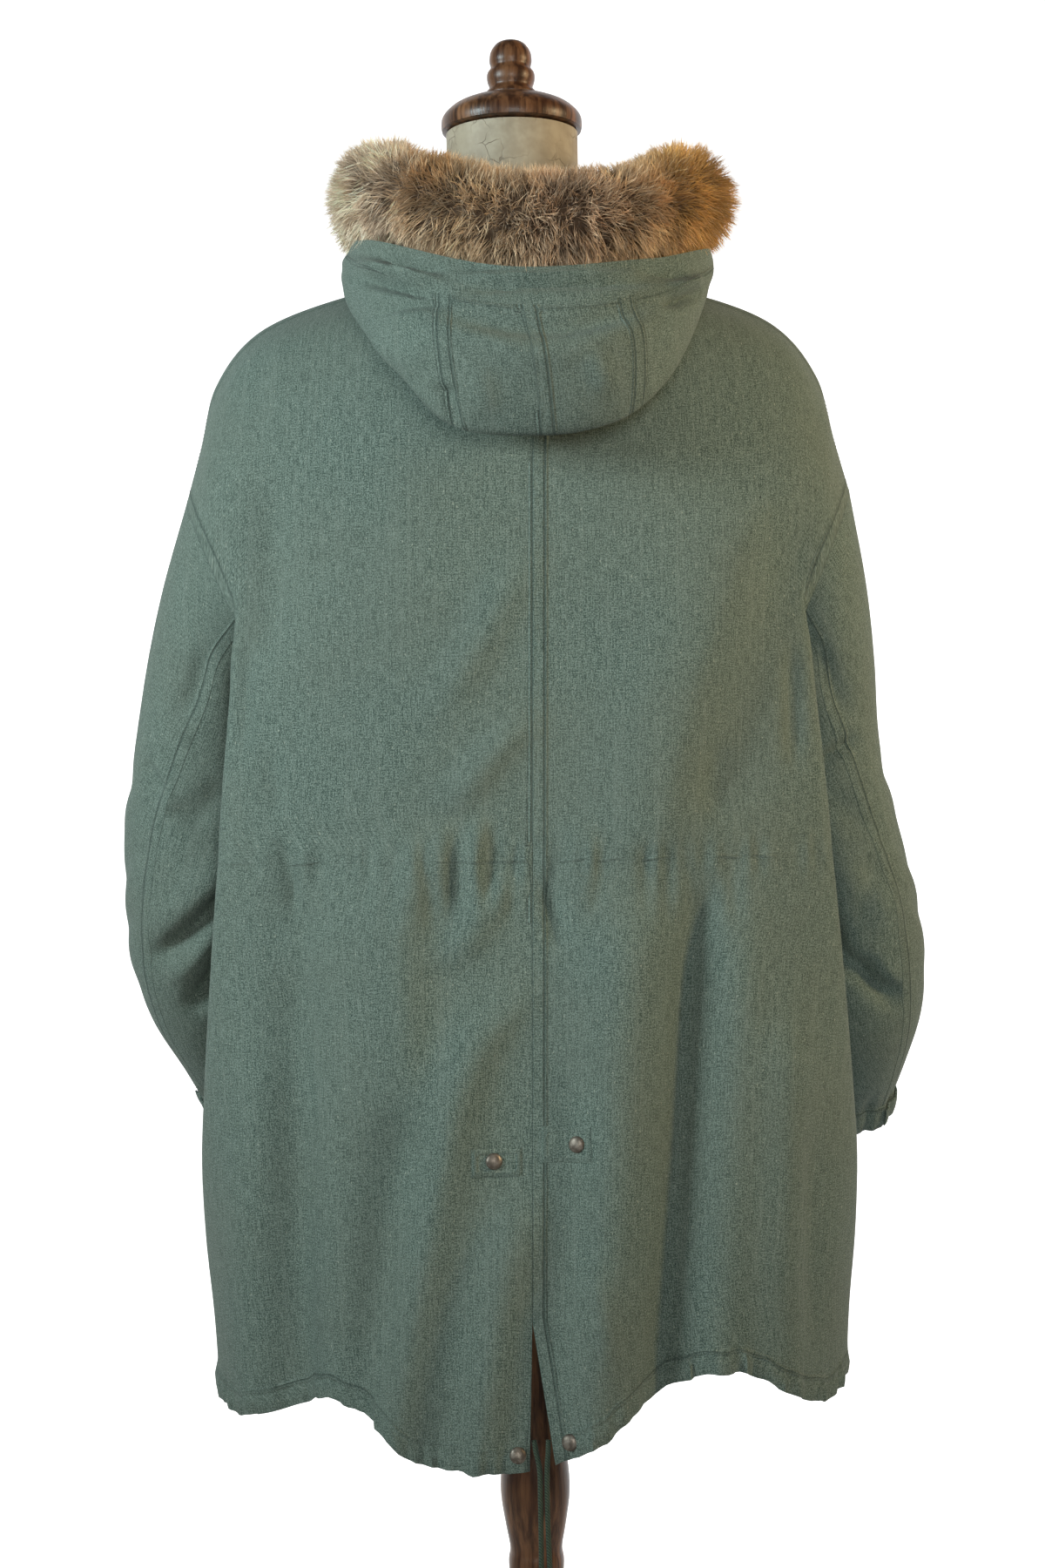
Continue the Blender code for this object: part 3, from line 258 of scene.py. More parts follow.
BACK_TABLE, FRONT_TABLE = (table(LEVEL_COLUMNS, rows) for rows in (BACK_LEVELS, FRONT_LEVELS))
UPPER_TABLES = {toward: table(UPPER_COLUMNS, rows, ("angle",))
                for toward, rows in ((-1, UPPER_BACK), (1, UPPER_FRONT))}


def level(source, name, at):
    """One value of a table, read between its rows by its first column."""
    return float(smooth(next(iter(source.values())), source[name], np.array([at]))[0])


def lower_section(z, toward, counts):
    """Half section of the skirt at one height, from the centre to the side seam."""
    source = BACK_TABLE if toward < 0 else FRONT_TABLE
    controls = [(0.0, level(source, "centre_y", z), z)]
    for point in ("mid", "wing", "tip", "tuck", "side"):
        if toward < 0 or point != "tuck":
            read = BACK_TABLE if point == "side" else source
            controls.append((level(read, point + "_x", z), level(read, point + "_y", z), z))
    return half_ring(controls, counts)


def upper_section(angle, toward, counts, low_tuck):
    """Half row above the underarm, from the centre to the armhole."""
    source = UPPER_TABLES[toward]
    controls = [(0.0, level(source, "centre_y", angle), level(source, "centre_z", angle))]
    for point in ("mid", "wing", "tip"):
        controls.append(tuple(level(source, point + axis, angle) for axis in ("_x", "_y", "_z")))
    edge = np.array(armhole(angle, toward))
    if toward < 0:
        share = max(0.0, -math.sin(math.radians(angle))) ** 2
        middle = 0.5 * (np.array(controls[-1]) + edge)
        tuck = (1 - share) * middle + share * low_tuck
        tuck[2] = middle[2]
        controls.append(tuple(tuck))
    controls.append(tuple(edge))
    return half_ring(controls, counts)


def hem_heights(points, side):
    turns = np.degrees(np.arctan2(np.abs(points[:, 0]) / HEM_HALF_WIDTH, -points[:, 1] / HEM_HALF_DEPTH))
    rows = np.array(HEM_LEFT if side < 0 else HEM_RIGHT, dtype=float)
    return smooth(rows[:, 0], rows[:, 1], turns)


def seam_shift(z, side):
    """Sideways place of the centre back edge: a slight drift, then the open vent."""
    drift = SEAM_DRIFT * np.clip((z - VENT_TOP_Z) / (SEAM_DRIFT_Z - VENT_TOP_Z), 0, 1)
    open_share = np.clip((VENT_TOP_Z - z) / (VENT_TOP_Z - VENT_LOW_Z), 0, 1)
    return drift + (VENT_SPREAD_LEFT if side < 0 else VENT_SPREAD_RIGHT) * open_share


def large_folds(x, z, toward):
    """Lift of the largest folds of the skirt."""
    total = np.zeros_like(x)
    for row in FOLDS:
        if row[0] == toward:
            top_x, top_z, low_x, low_z, half_width, height = np.array(row[1:]) / 1000
            line_x = top_x + (low_x - top_x) * (top_z - z) / (top_z - low_z)
            total += height * ease((top_z - z) / FOLD_FADE) * np.exp(-((x - line_x) / half_width) ** 2)
    return total


def creases(across, up, rows):
    """Lift of listed folds, each a line from one end to the other in a side's own plane."""
    total = np.zeros_like(across)
    for from_a, from_z, to_a, to_z, bow, half_width, height in np.array(rows) / 1000:
        line = np.array((to_a - from_a, to_z - from_z))
        length = math.hypot(*line)
        line /= length
        along = (across - from_a) * line[0] + (up - from_z) * line[1]
        beside = (across - from_a) * -line[1] + (up - from_z) * line[0]
        beside = beside - bow * np.sin(math.pi * np.clip(along / length, 0, 1))
        ends = ease(along / (CREASE_FADE * length)) * ease((length - along) / (CREASE_FADE * length))
        total += CREASE_RISE * height * ends * np.exp(-(beside / half_width) ** 2)
    return total


def grid_normals(points, closed=False):
    """Outward normals of a grid whose rows go up and whose columns run anticlockwise."""
    if closed:
        across = np.roll(points, -1, axis=1) - np.roll(points, 1, axis=1)
    else:
        across = np.gradient(points, axis=1)
    return unit(np.cross(across, np.gradient(points, axis=0)))


def body_points(side, toward):
    """One front or back panel, its columns from the centre to the side."""
    counts = COLUMN_STEPS[toward]
    low_rows, high_rows = ROW_STEPS[toward]
    levels = np.linspace(SKIRT_LOW_Z, UNDERARM_Z, 45)
    stack = np.array([lower_section(z, toward, counts) for z in levels])
    section = lower_section(0.5, toward, counts)
    edges = np.minimum(np.arange(len(section)), np.arange(len(section))[::-1])
    hems = hem_heights(section, side) + HEM_WAVE * pucker(section[:, 0], 0.031) * ease(edges / 8)
    shares = np.arange(low_rows) / low_rows
    low = np.empty((low_rows, stack.shape[1], 3))
    for column, hem in enumerate(hems):
        low[:, column] = read_along(hem + (UNDERARM_Z - hem) * shares, levels, stack[:, column])
    low_tuck = lower_section(UNDERARM_Z, toward, (8, 6))[-3]
    angles = np.linspace(-90, 90, high_rows + 1)
    high = np.array([upper_section(angle, toward, counts, low_tuck) for angle in angles])
    top = high[-1].copy()
    top[:, 1] = np.maximum(top[:, 1] * toward, 0) * toward
    far = top[:, 0] > SHOULDER_INNER_X
    shared = upper_section(90, -1, COLUMN_STEPS[-1], low_tuck)
    top[far, 1] = 0
    top[far, 2] = np.interp(top[far, 0], shared[:, 0], shared[:, 2])
    depth = NECK_BACK_DEPTH if toward < 0 else NECK_FRONT_DEPTH
    size = np.hypot(top[~far, 0] / NECK_HALF_WIDTH, top[~far, 1] / depth)
    top[~far, :2] /= np.maximum(size, 0.2)[:, None]
    weight = np.clip((angles - 60) / 30, 0, 1) ** 2
    high = high + weight[:, None, None] * (top - high[-1])
    points = np.vstack([low, high])
    points[..., 0] *= side
    if toward < 0:
        columns = np.linspace(0.0, 1.0, points.shape[1])
        kept = np.concatenate([np.ones(low_rows), 1 - weight])[:, None]
        points[..., 0] += seam_shift(points[..., 2], side) * (1 - columns) ** 2 * kept
    return points[:, ::-1] if side * toward > 0 else points


def ring_points(side, x, y, z, half_width, half_depth, roll, pitch, twist):
    """One sleeve ring; its points start under the arm and pass the back first."""
    roll, pitch = math.radians(roll), math.radians(pitch)
    outward = np.array((side * math.cos(roll), 0.0, math.sin(roll)))
    backward = np.array((0.0, -math.cos(pitch), -math.sin(pitch)))
    angles = np.radians(-90 + 360 / SLEEVE_STEPS * np.arange(SLEEVE_STEPS) + twist)
    return (np.array((side * x, y, z)) + np.outer(half_width * np.sin(angles), outward)
            + np.outer(half_depth * np.cos(angles), backward))


def sleeve_points(side):
    """Sleeve rings from the wrist up to the armhole, their columns anticlockwise from above."""
    top = []
    for step in range(SLEEVE_STEPS):
        angle = -90 + 360 * step / SLEEVE_STEPS
        x, y, z = armhole(angle if angle <= 90 else 180 - angle, -1 if angle <= 90 else 1)
        top.append((side * x, y, z))
    source = table(SLEEVE_COLUMNS, SLEEVE_LEFT if side < 0 else SLEEVE_RIGHT, ("roll", "pitch", "twist"))
    rings = np.array([ring_points(side, *ring) for ring in zip(*source.values())][::-1] + [top])
    knots = lengths(rings.mean(axis=1))
    flat = smooth(knots, rings.reshape(len(rings), -1), np.linspace(0, knots[-1], SLEEVE_ROWS + 1))
    points = flat.reshape(SLEEVE_ROWS + 1, SLEEVE_STEPS, 3)
    return points if side < 0 else np.roll(points[:, ::-1], 1, axis=1)


# Folds given one by one. Each runs from one end to the other in the plane of the side that shows it:
# across (X for the back and front, Y for the sleeves' outer sides) and height, its bow to one side,
# its half width, and how far it stands out, or in where negative. Columns: from across and Z, to
# across and Z, bow, half width, height.
BACK_CREASES = (
    (-205, 985, -196, 900, 2, 5.5, -4.5),
    (-186, 990, -182, 905, 0, 7, 2.4),
    (-168, 980, -166, 885, 0, 6, -1.8),
    (-128, 985, -130, 905, 0, 6, -1),
    (-104, 980, -112, 890, 0, 6, -1.6),
    (-82, 985, -76, 890, 0, 6, -1.8),
    (-66, 1000, -68, 905, 0, 5.5, 1.6),
    (-52, 990, -56, 900, 0, 5.5, -2),
    (-36, 1005, -42, 900, 0, 6, 1.8),
    (-24, 995, -32, 905, 0, 5.5, -2),
    (-6, 975, -14, 900, 0, 5, -1.6),
    (26, 975, 22, 895, 0, 5.5, -1.5),
    (60, 970, 58, 905, 0, 6, -1),
    (100, 975, 98, 900, 0, 6, -1.2),
    (118, 980, 116, 890, 0, 6, -1.6),
    (136, 978, 139, 895, 0, 6, -1.4),
    (172, 975, 176, 890, 0, 6.5, -1.8),
    (-205, 990, -214, 1060, 0, 9, -3),
    (156, 985, 170, 1060, 4, 12, -3),
    (236, 760, 232, 520, 0, 12, -3.5),
    (-232, 1160, -236, 1030, 0, 8, -4),
    (232, 1150, 228, 1020, 0, 8, -4.5),
    (40, 640, 60, 540, 4, 12, 2.5),
)
FRONT_CREASES = (
    (-180, 975, -190, 700, 4, 11, -5),
    (-130, 955, -124, 860, 0, 7, -3.5),
    (-90, 955, -96, 870, 0, 6, -3),
    (84, 955, 80, 870, 0, 6, -3),
    (124, 960, 130, 850, 0, 7, -3.5),
    (176, 970, 184, 700, -4, 11, -5),
    (-100, 780, -120, 560, 4, 18, 5),
    (110, 800, 126, 560, -4, 18, 5),
    (-60, 700, -66, 540, 0, 15, -4),
    (64, 720, 70, 540, 0, 15, -4),
    (-180, 1300, -200, 1080, 6, 16, -4.5),
    (180, 1300, 200, 1080, -6, 16, -4.5),
    (-60, 1280, -120, 1120, 4, 20, -3.5),
    (60, 1290, 120, 1130, -4, 20, -3.5),
)
SLEEVE_CREASES = {
    -1: (
        (-266, 1150, -300, 1070, 4, 11, -4),
        (-246, 944, -338, 864, 6, 8.5, -10),
        (-240, 972, -340, 886, 6, 18, 5),
        (-252, 888, -306, 816, 4, 10, -11),
        (-262, 912, -322, 846, 6, 8, 4),
        (-332, 1050, -308, 1008, 0, 5, -4.5),
        (-316, 1026, -298, 1000, 0, 8, 3),
        (-252, 1030, -300, 985, 4, 14, -3.5),
    ),
    1: (
        (248, 1150, 290, 1060, -4, 11, -4),
        (296, 1058, 246, 1030, 0, 5.5, -5.5),
        (262, 915, 288, 838, -4, 8, -9),
        (276, 868, 334, 812, 2, 9.5, -10.5),
        (254, 955, 330, 880, 4, 18, 4.5),
        (306, 960, 288, 890, 0, 12, -3.5),
        (256, 1012, 300, 965, 4, 14, -3),
        (300, 850, 330, 838, 2, 7, 3),
    ),
}
SIDE_CREASES = (
    (60, 1080, -20, 1010, 6, 13, -3),
    (-50, 980, 60, 905, 6, 13, -3.5),
    (-30, 920, 90, 860, 6, 12, -3.5),
    (-20, 1020, 80, 950, 6, 15, 2),
    (20, 860, 120, 800, 4, 11, -3),
    (60, 1200, 50, 1080, 4, 14, -2.5),
)
HOOD_CREASES = (
    (-140, 1446, -52, 1410, -3, 5.2, -6.2),
    (-136, 1456, -52, 1424, -3, 5.8, 4.5),
    (-114, 1456, -50, 1434, -2, 4.6, -5.8),
    (-60, 1414, 112, 1421, 1, 4, -4),
    (-64, 1424, 104, 1428, 1, 5.2, 3.2),
    (-56, 1437, 40, 1440, -3, 4.4, -4),
    (10, 1436, 124, 1442, -3, 4.4, -4.4),
    (94, 1431, 148, 1437, 2, 4.6, -4.8),
    (116, 1404, 160, 1430, -2, 4.6, -6),
    (124, 1420, 158, 1440, -2, 5.5, 4),
    (-120, 1404, -44, 1405, 2, 4.8, -4),
    (-78, 1404, 128, 1408, -26, 8.8, -5.6),
    (-50, 1384, 100, 1388, -26, 12, 2.8),
    (-128, 1392, -64, 1350, -2, 11, 2.6),
    (-34, 1356, -20, 1310, 0, 10, 2),
    (60, 1364, 76, 1326, 0, 10, 2.2),
    (-60, 1340, -46, 1306, 0, 4.2, -3),
    (-70, 1336, -44, 1330, 0, 3.6, -2.2),
)


# Folds whose crest bends. Columns: reach to the left, reach to the right, height, the crest as X and Z.
BACK_RIDGES = (
    (40, 24, 8.5, ((-92, 714), (-97, 764), (-102, 822), (-100, 907), (-87, 950), (-66, 1000))),
    (12, 10, 3.5, ((-42, 917), (-40, 960), (-37, 999))),
    (20, 17, 5, ((-65, 860), (-45, 896), (-19, 938), (-9, 956))),
    (26, 20, 5, ((-112, 440), (-109, 550), (-96, 626), (-86, 676), (-72, 724), (-57, 772), (-36, 811),
                 (-7, 850), (-2, 877))),
    (20, 26, 5, ((-50, 440), (-41, 549), (-37, 582), (-28, 616), (-16, 653), (-5, 683), (-2, 705))),
    (45, 36, 5, ((48, 440), (49, 547), (55, 595), (65, 679), (72, 764), (83, 877), (96, 933))),
    (16, 11, -6, ((100, 440), (107, 546), (113, 594), (122, 678), (130, 763), (140, 876), (153, 932),
                  (155, 957))),
    (55, 34, 7, ((96, 933), (109, 997), (129, 1075), (154, 1146), (180, 1217), (197, 1274))),
    (30, 30, -5, ((158, 974), (181, 1053), (202, 1117), (222, 1188), (237, 1259))),
    (22, 20, 4, ((-72, 1057), (-55, 1100), (-26, 1149), (-4, 1199), (4, 1227))),
    (20, 18, 4.5, ((-63, 985), (-37, 1028), (-6, 1067), (4, 1091))),
    (9, 7, -4, ((29, 876), (27, 912), (12, 948))),
    (14, 12, 3.5, ((-202, 838), (-195, 895), (-185, 945), (-193, 981))),
    (12, 10, -4.5, ((-191, 866), (-186, 909), (-180, 952), (-182, 984))),
    (30, 30, -4, ((-190, 440), (-189, 594), (-182, 701), (-175, 808), (-179, 894))),
    (30, 24, 4.5, ((-232, 440), (-228, 631), (-222, 738), (-217, 824))),
    (20, 16, -5, ((-220, 1095), (-213, 1152), (-209, 1224), (-209, 1295))),
    (16, 12, 3, ((47, 905), (51, 958), (44, 998))),
    (18, 14, -3.5, ((24, 440), (23, 576), (30, 648), (38, 741), (36, 819))),
    (26, 20, 5, ((205, 440), (201, 623), (210, 730), (215, 838))),
)


def ridges(across, up, rows):
    """Lift of the folds whose crest bends."""
    total = np.zeros_like(across)
    for left, right, height, crest in rows:
        line = np.array(crest) / 1000
        beside = across - smooth(line[:, 1], line[:, 0], up)
        width = np.where(beside < 0, left, right) / 1000
        low, high = line[0, 1], line[-1, 1]
        fade = min(RIDGE_FADE, 0.4 * (high - low))
        ends = ease((up - low) / fade) * ease((high - up) / fade)
        total += RIDGE_RISE * height / 1000 * ends * np.exp(-(beside / width) ** 2)
    return total


class Look:
    """Builds one procedural material, node by node."""

    def __init__(self, name):
        self.material = bpy.data.materials.new(name)
        self.material.use_nodes = True
        self.tree = self.material.node_tree
        self.shader = self.tree.nodes["Principled BSDF"]

    def add(self, kind, settings=None, **inputs):
        made = self.tree.nodes.new(kind)
        for key, value in (settings or {}).items():
            setattr(made, key, value)
        for key, value in inputs.items():
            self.feed(made, key.replace("_", " "), value)
        return made

    def feed(self, made, key, value):
        socket = made.inputs[int(key)] if key.isdigit() else made.inputs[key]
        if isinstance(value, bpy.types.NodeSocket):
            self.tree.links.new(value, socket)
        else:
            socket.default_value = value

    def math(self, operation, first, second=0.0, third=0.0):
        made = self.add("ShaderNodeMath", {"operation": operation})
        for index, value in enumerate((first, second, third)):
            self.feed(made, str(index), value)
        return made.outputs[0]

    def ramp(self, value, low, high, start=0.0, end=1.0):
        made = self.add("ShaderNodeMapRange", {"interpolation_type": "SMOOTHSTEP"}, Value=value)
        for key, number in (("From Min", low), ("From Max", high), ("To Min", start), ("To Max", end)):
            made.inputs[key].default_value = number
        return made.outputs["Result"]

    def scaled(self, vector, scale):
        made = self.add("ShaderNodeVectorMath", {"operation": "MULTIPLY"})
        self.feed(made, "0", vector)
        self.feed(made, "1", scale)
        return made.outputs[0]

    def noise(self, vector, scale, detail=2.0, roughness=0.5, stretch=(1, 1, 1)):
        made = self.add("ShaderNodeTexNoise", Vector=self.scaled(vector, stretch), Scale=scale,
                        Detail=detail, Roughness=roughness)
        return made.outputs["Fac"]

    def mix(self, share, first, second):
        made = self.add("ShaderNodeMix", {"data_type": "RGBA"})
        self.feed(made, "0", share)
        self.feed(made, "6", first)
        self.feed(made, "7", second)
        return made.outputs[2]

    def stain(self, colour, value, low, high, share, over):
        """Lays a second colour over the first where a value is high."""
        return self.mix(self.ramp(value, low, high, 0.0, share), colour, over)

    def finish(self, **inputs):
        for key, value in inputs.items():
            self.feed(self.shader, key.replace("_", " "), value)
        return self.material

    def bump(self, height):
        made = self.add("ShaderNodeBump", Height=height, Strength=1.0, Distance=1.0)
        return made.outputs["Normal"]


CLOTH_DARK = (0.044, 0.067, 0.056, 1)
CLOTH_LIGHT = (0.182, 0.230, 0.196, 1)
CLOTH_SLUB = (0.190, 0.228, 0.194, 1)
CLOTH_WARM = (0.128, 0.138, 0.108, 1)
CLOTH_FLECK = (0.40, 0.42, 0.34, 1)
CLOTH_NUB = (0.014, 0.022, 0.026, 1)
# Painted shade: the colour laid along the stitch grooves, where shadow falls.
CLOTH_GROOVE_PAINTED_SHADE = (0.030, 0.046, 0.040, 1)


def cloth_look(name):
    """Slubby sage cotton and linen; thick threads run down the cloth, seams stand up in ridges, and painted
    shade darkens the stitch grooves.
    """
    look = Look(name)
    place = look.add("ShaderNodeUVMap", {"uv_map": "cloth"}).outputs["UV"]
    down = look.noise(place, 1.0, 3.0, 0.65, (1250, 75, 1))
    over = look.noise(place, 1.0, 2.0, 0.65, (100, 1250, 1))
    grain = look.noise(place, 1.0, 2.0, 0.7, (900, 800, 1))
    thick = look.noise(place, 1.0, 3.0, 0.6, (300, 5, 1))
    broad = look.noise(place, 7.0, 3.0, 0.5)
    threads = look.math("MULTIPLY_ADD", down, 0.28, look.math("MULTIPLY_ADD", over, 0.18,
                        look.math("MULTIPLY", grain, 0.54)))
    tone = look.ramp(threads, 0.44, 0.575)
    colour = look.mix(tone, CLOTH_DARK, CLOTH_LIGHT)
    colour = look.stain(colour, thick, 0.46, 0.70, 0.26, CLOTH_SLUB)
    colour = look.stain(colour, broad, 0.3, 0.7, 0.22, CLOTH_WARM)
    fleck = look.noise(place, 1.0, 1.0, 0.4, (620, 300, 1))
    colour = look.stain(colour, fleck, 0.70, 0.77, 0.5, CLOTH_FLECK)
    nub = look.noise(place, 1.0, 1.0, 0.4, (260, 170, 1))
    colour = look.stain(colour, nub, 0.795, 0.83, 0.8, CLOTH_NUB)
    seam = look.add("ShaderNodeAttribute", {"attribute_name": "seam"}).outputs["Fac"]
    ridge = look.math("MULTIPLY", look.ramp(seam, -0.0036, -0.0012),
                      look.ramp(seam, 0.0110, 0.0134, 1.0, 0.0))
    lines = [look.math("ABSOLUTE", look.math("SUBTRACT", seam, line)) for line in (-0.0004, 0.0100)]
    groove_and_painted_shade = look.ramp(look.math("MINIMUM", *lines), 0.0003, 0.0015, 1.0, 0.0)
    # Painted shade: the cloth is darkened along the stitch grooves, which are also pressed in by the bump
    # below.
    colour = look.mix(look.math("MULTIPLY", groove_and_painted_shade, 0.55), colour, CLOTH_GROOVE_PAINTED_SHADE)
    gather = look.noise(place, 1.0, 1.0, 0.5, (160, 160, 1))
    height = look.math("MULTIPLY_ADD", threads, 0.00016, look.math("MULTIPLY", thick, 0.00005))
    height = look.math("ADD", height, look.math("MULTIPLY", ridge, look.math(
        "MULTIPLY_ADD", gather, 0.0009, 0.0005)))
    height = look.math("SUBTRACT", height, look.math("MULTIPLY", groove_and_painted_shade, 0.0006))
    return look.finish(Base_Color=colour, Roughness=0.92, Normal=look.bump(height),
                       Sheen_Weight=0.04, Sheen_Roughness=0.5, Specular_IOR_Level=0.15)


def plain_look(name, colour, roughness):
    return Look(name).finish(Base_Color=(*colour, 1), Roughness=roughness)


def wood_look():
    look = Look("polished dark wood")
    place = look.add("ShaderNodeTexCoord").outputs["Object"]
    grain = look.noise(place, 1.0, 4.0, 0.6, (150, 150, 9))
    broad = look.noise(place, 1.0, 2.0, 0.5, (28, 28, 14))
    pore = look.noise(place, 1.0, 2.0, 0.5, (900, 900, 60))
    colour = look.mix(look.ramp(grain, 0.35, 0.68), (0.040, 0.017, 0.008, 1), (0.210, 0.096, 0.042, 1))
    colour = look.stain(colour, broad, 0.4, 0.65, 0.55, (0.045, 0.014, 0.006, 1))
    colour = look.stain(colour, pore, 0.62, 0.72, 0.5, (0.012, 0.005, 0.003, 1))
    height = look.math("MULTIPLY", pore, 0.0002)
    return look.finish(Base_Color=colour, Roughness=look.ramp(grain, 0.2, 0.8, 0.30, 0.42),
                       Normal=look.bump(height), Coat_Weight=0.08, Coat_Roughness=0.3, Specular_IOR_Level=0.3)


def linen_look():
    """The form's cream covering, crazed with fine brown cracks."""
    look = Look("crazed cream covering")
    place = look.add("ShaderNodeTexCoord").outputs["Object"]
    warp = look.noise(place, 60.0, 3.0, 0.6)
    shifted = look.add("ShaderNodeVectorMath", {"operation": "ADD"})
    look.feed(shifted, "0", place)
    wander = look.add("ShaderNodeTexNoise", Vector=place, Scale=70.0).outputs["Color"]
    look.feed(shifted, "1", look.scaled(wander, (0.012, 0.012, 0.012)))
    cells = look.add("ShaderNodeTexVoronoi", {"feature": "DISTANCE_TO_EDGE"}, Vector=shifted.outputs[0],
                     Scale=64.0)
    crack = look.ramp(cells.outputs["Distance"], 0.006, 0.030, 1.0, 0.0)
    strong = look.math("MULTIPLY", crack, look.ramp(look.noise(place, 22.0), 0.42, 0.62))
    colour = look.mix(look.ramp(warp, 0.3, 0.7), (0.30, 0.25, 0.175, 1), (0.40, 0.345, 0.25, 1))
    age = look.noise(place, 16.0, 3.0, 0.6)
    colour = look.stain(colour, age, 0.45, 0.75, 0.5, (0.19, 0.145, 0.09, 1))
    colour = look.mix(look.math("MULTIPLY", strong, 0.9), colour, (0.10, 0.065, 0.035, 1))
    height = look.math("MULTIPLY", strong, -0.0004)
    return look.finish(Base_Color=colour, Roughness=0.6, Normal=look.bump(height))


def brass_look():
    look = Look("aged brown snap metal")
    place = look.add("ShaderNodeTexCoord").outputs["Object"]
    worn = look.noise(place, 1.0, 2.0, 0.5, (260, 260, 260))
    colour = look.mix(look.ramp(worn, 0.40, 0.62), (0.125, 0.102, 0.082, 1), (0.235, 0.200, 0.165, 1))
    return look.finish(Base_Color=colour, Metallic=0.72, Roughness=0.46)


def fur_look():
    look = Look("long fur")
    tint = look.add("ShaderNodeAttribute", {"attribute_name": "tint"}).outputs["Color"]
    return look.finish(Base_Color=tint, Roughness=0.62, Specular_IOR_Level=0.3, Sheen_Weight=0.15,
                       Sheen_Roughness=0.4)


def cord_look():
    look = Look("dark green braided cord")
    place = look.add("ShaderNodeTexCoord").outputs["Object"]
    braid = look.add("ShaderNodeTexWave", {"bands_direction": "DIAGONAL"},
                     Vector=place, Scale=260.0, Distortion=1.0)
    colour = look.mix(braid.outputs["Fac"], (0.012, 0.020, 0.012, 1), (0.050, 0.075, 0.045, 1))
    height = look.math("MULTIPLY", braid.outputs["Fac"], 0.0003)
    return look.finish(Base_Color=colour, Roughness=0.85, Normal=look.bump(height))


def show(name, data):
    made = bpy.data.objects.new(name, data)
    bpy.context.scene.collection.objects.link(made)
    return made


def link(name, mesh, look):
    mesh.materials.append(look)
    return show(name, mesh)


def declare(made, stands_for=None):
    """Fixes a piece to the one body and hides the solid that it takes the place of."""
    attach(made, "root")
    if stands_for:
        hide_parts(stands_for)
    return made


def make_mesh(name, vertices, faces, look, sharp=40):
    mesh = bpy.data.meshes.new(name)
    mesh.from_pydata((np.asarray(vertices) + ORIGIN_SHIFT).tolist(), [], [list(face) for face in faces])
    mesh.validate()
    mesh.shade_smooth()
    mesh.set_sharp_from_angle(angle=math.radians(sharp))
    return link(name, mesh, look)


def cloth_uv(points, zero_row=0, zero_column=0):
    """Where each point lies on the flat cloth, in metres."""
    across, down = from_edge(points, "left"), from_edge(points, "low")
    return np.stack([across - across[:, [zero_column]], down - down[[zero_row]]], axis=2)


def make_cloth(node, points, normals, look, seam=None, uv=None, wall=WALL):
    """A node's thin cloth wall with its flat coordinates and the distance to its seams."""
    rows, columns = points.shape[:2]
    count = rows * columns
    index, quads = grid_quads(rows, columns)
    faces = [quads, quads[:, ::-1] + count]
    for start, end in ((index[0, 1:], index[0, :-1]), (index[-1, :-1], index[-1, 1:]),
                       (index[:-1, 0], index[1:, 0]), (index[1:, -1], index[:-1, -1])):
        faces.append(np.stack([start, end, end + count, start + count], axis=-1))
    faces = np.vstack(faces)
    vertices = np.vstack([points.reshape(-1, 3), (points - wall * normals).reshape(-1, 3)]) + ORIGIN_SHIFT
    mesh = bpy.data.meshes.new(node + "_cloth")
    mesh.from_pydata(vertices.tolist(), [], faces.tolist())
    flat = cloth_uv(points) if uv is None else uv
    flat = np.vstack([flat.reshape(-1, 2), flat.reshape(-1, 2)])
    corners = np.empty(len(mesh.loops), dtype=np.int32)
    mesh.loops.foreach_get("vertex_index", corners)
    mesh.uv_layers.new(name="cloth").data.foreach_set("uv", flat[corners].reshape(-1))
    near = np.full((rows, columns), NO_SEAM) if seam is None else seam
    values = np.concatenate([near.reshape(-1), np.full(count, NO_SEAM)])
    mesh.attributes.new("seam", "FLOAT", "POINT").data.foreach_set("value", values)
    mesh.shade_smooth()
    mesh.set_sharp_from_angle(angle=math.radians(50))
    declare(link(mesh.name, mesh, look), node)


def grid_quads(rows, columns):
    """The point numbers of a grid, and its faces."""
    index = np.arange(rows * columns).reshape(rows, columns)
    quads = np.stack([index[:-1, :-1], index[:-1, 1:], index[1:, 1:], index[1:, :-1]], axis=-1)
    return index, quads.reshape(-1, 4)


def from_edge(points, edge):
    """Distance of every grid point from one of the grid's edges, along the cloth."""
    axis = 1 if edge in ("left", "right") else 0
    grid = points if edge in ("left", "low") else np.flip(points, axis)
    steps = np.linalg.norm(np.diff(grid, axis=axis, prepend=grid.take([0], axis)), axis=2)
    total = np.cumsum(steps, axis=axis)
    return total if edge in ("left", "low") else np.flip(total, axis)


def edge_path(points, normals, edge, distance, start=0):
    """A line on the cloth that keeps one distance from an edge."""
    grids = (points, normals, from_edge(points, edge)[..., None])
    if edge in ("low", "high"):
        grids = [np.swapaxes(grid, 0, 1) for grid in grids]
    if edge in ("right", "high"):
        grids = [grid[:, ::-1] for grid in grids]
    places, faces, away = grids
    return cross_path(places[start:], faces[start:], away[start:, :, 0], distance)


def cross_path(points, normals, measure, wanted):
    """Places and normals where a measure along each row reaches what is wanted."""
    path = np.array([[np.interp(wanted, measure[row], grid[row, :, axis]) for grid in (points, normals)
                      for axis in range(3)] for row in range(len(points))])
    return path[:, :3], path[:, 3:]


STITCH_PITCH = 0.0034
STITCH_LENGTH = 0.0025
STITCH_HALF = 0.00028
STITCH_RISE = 0.00045


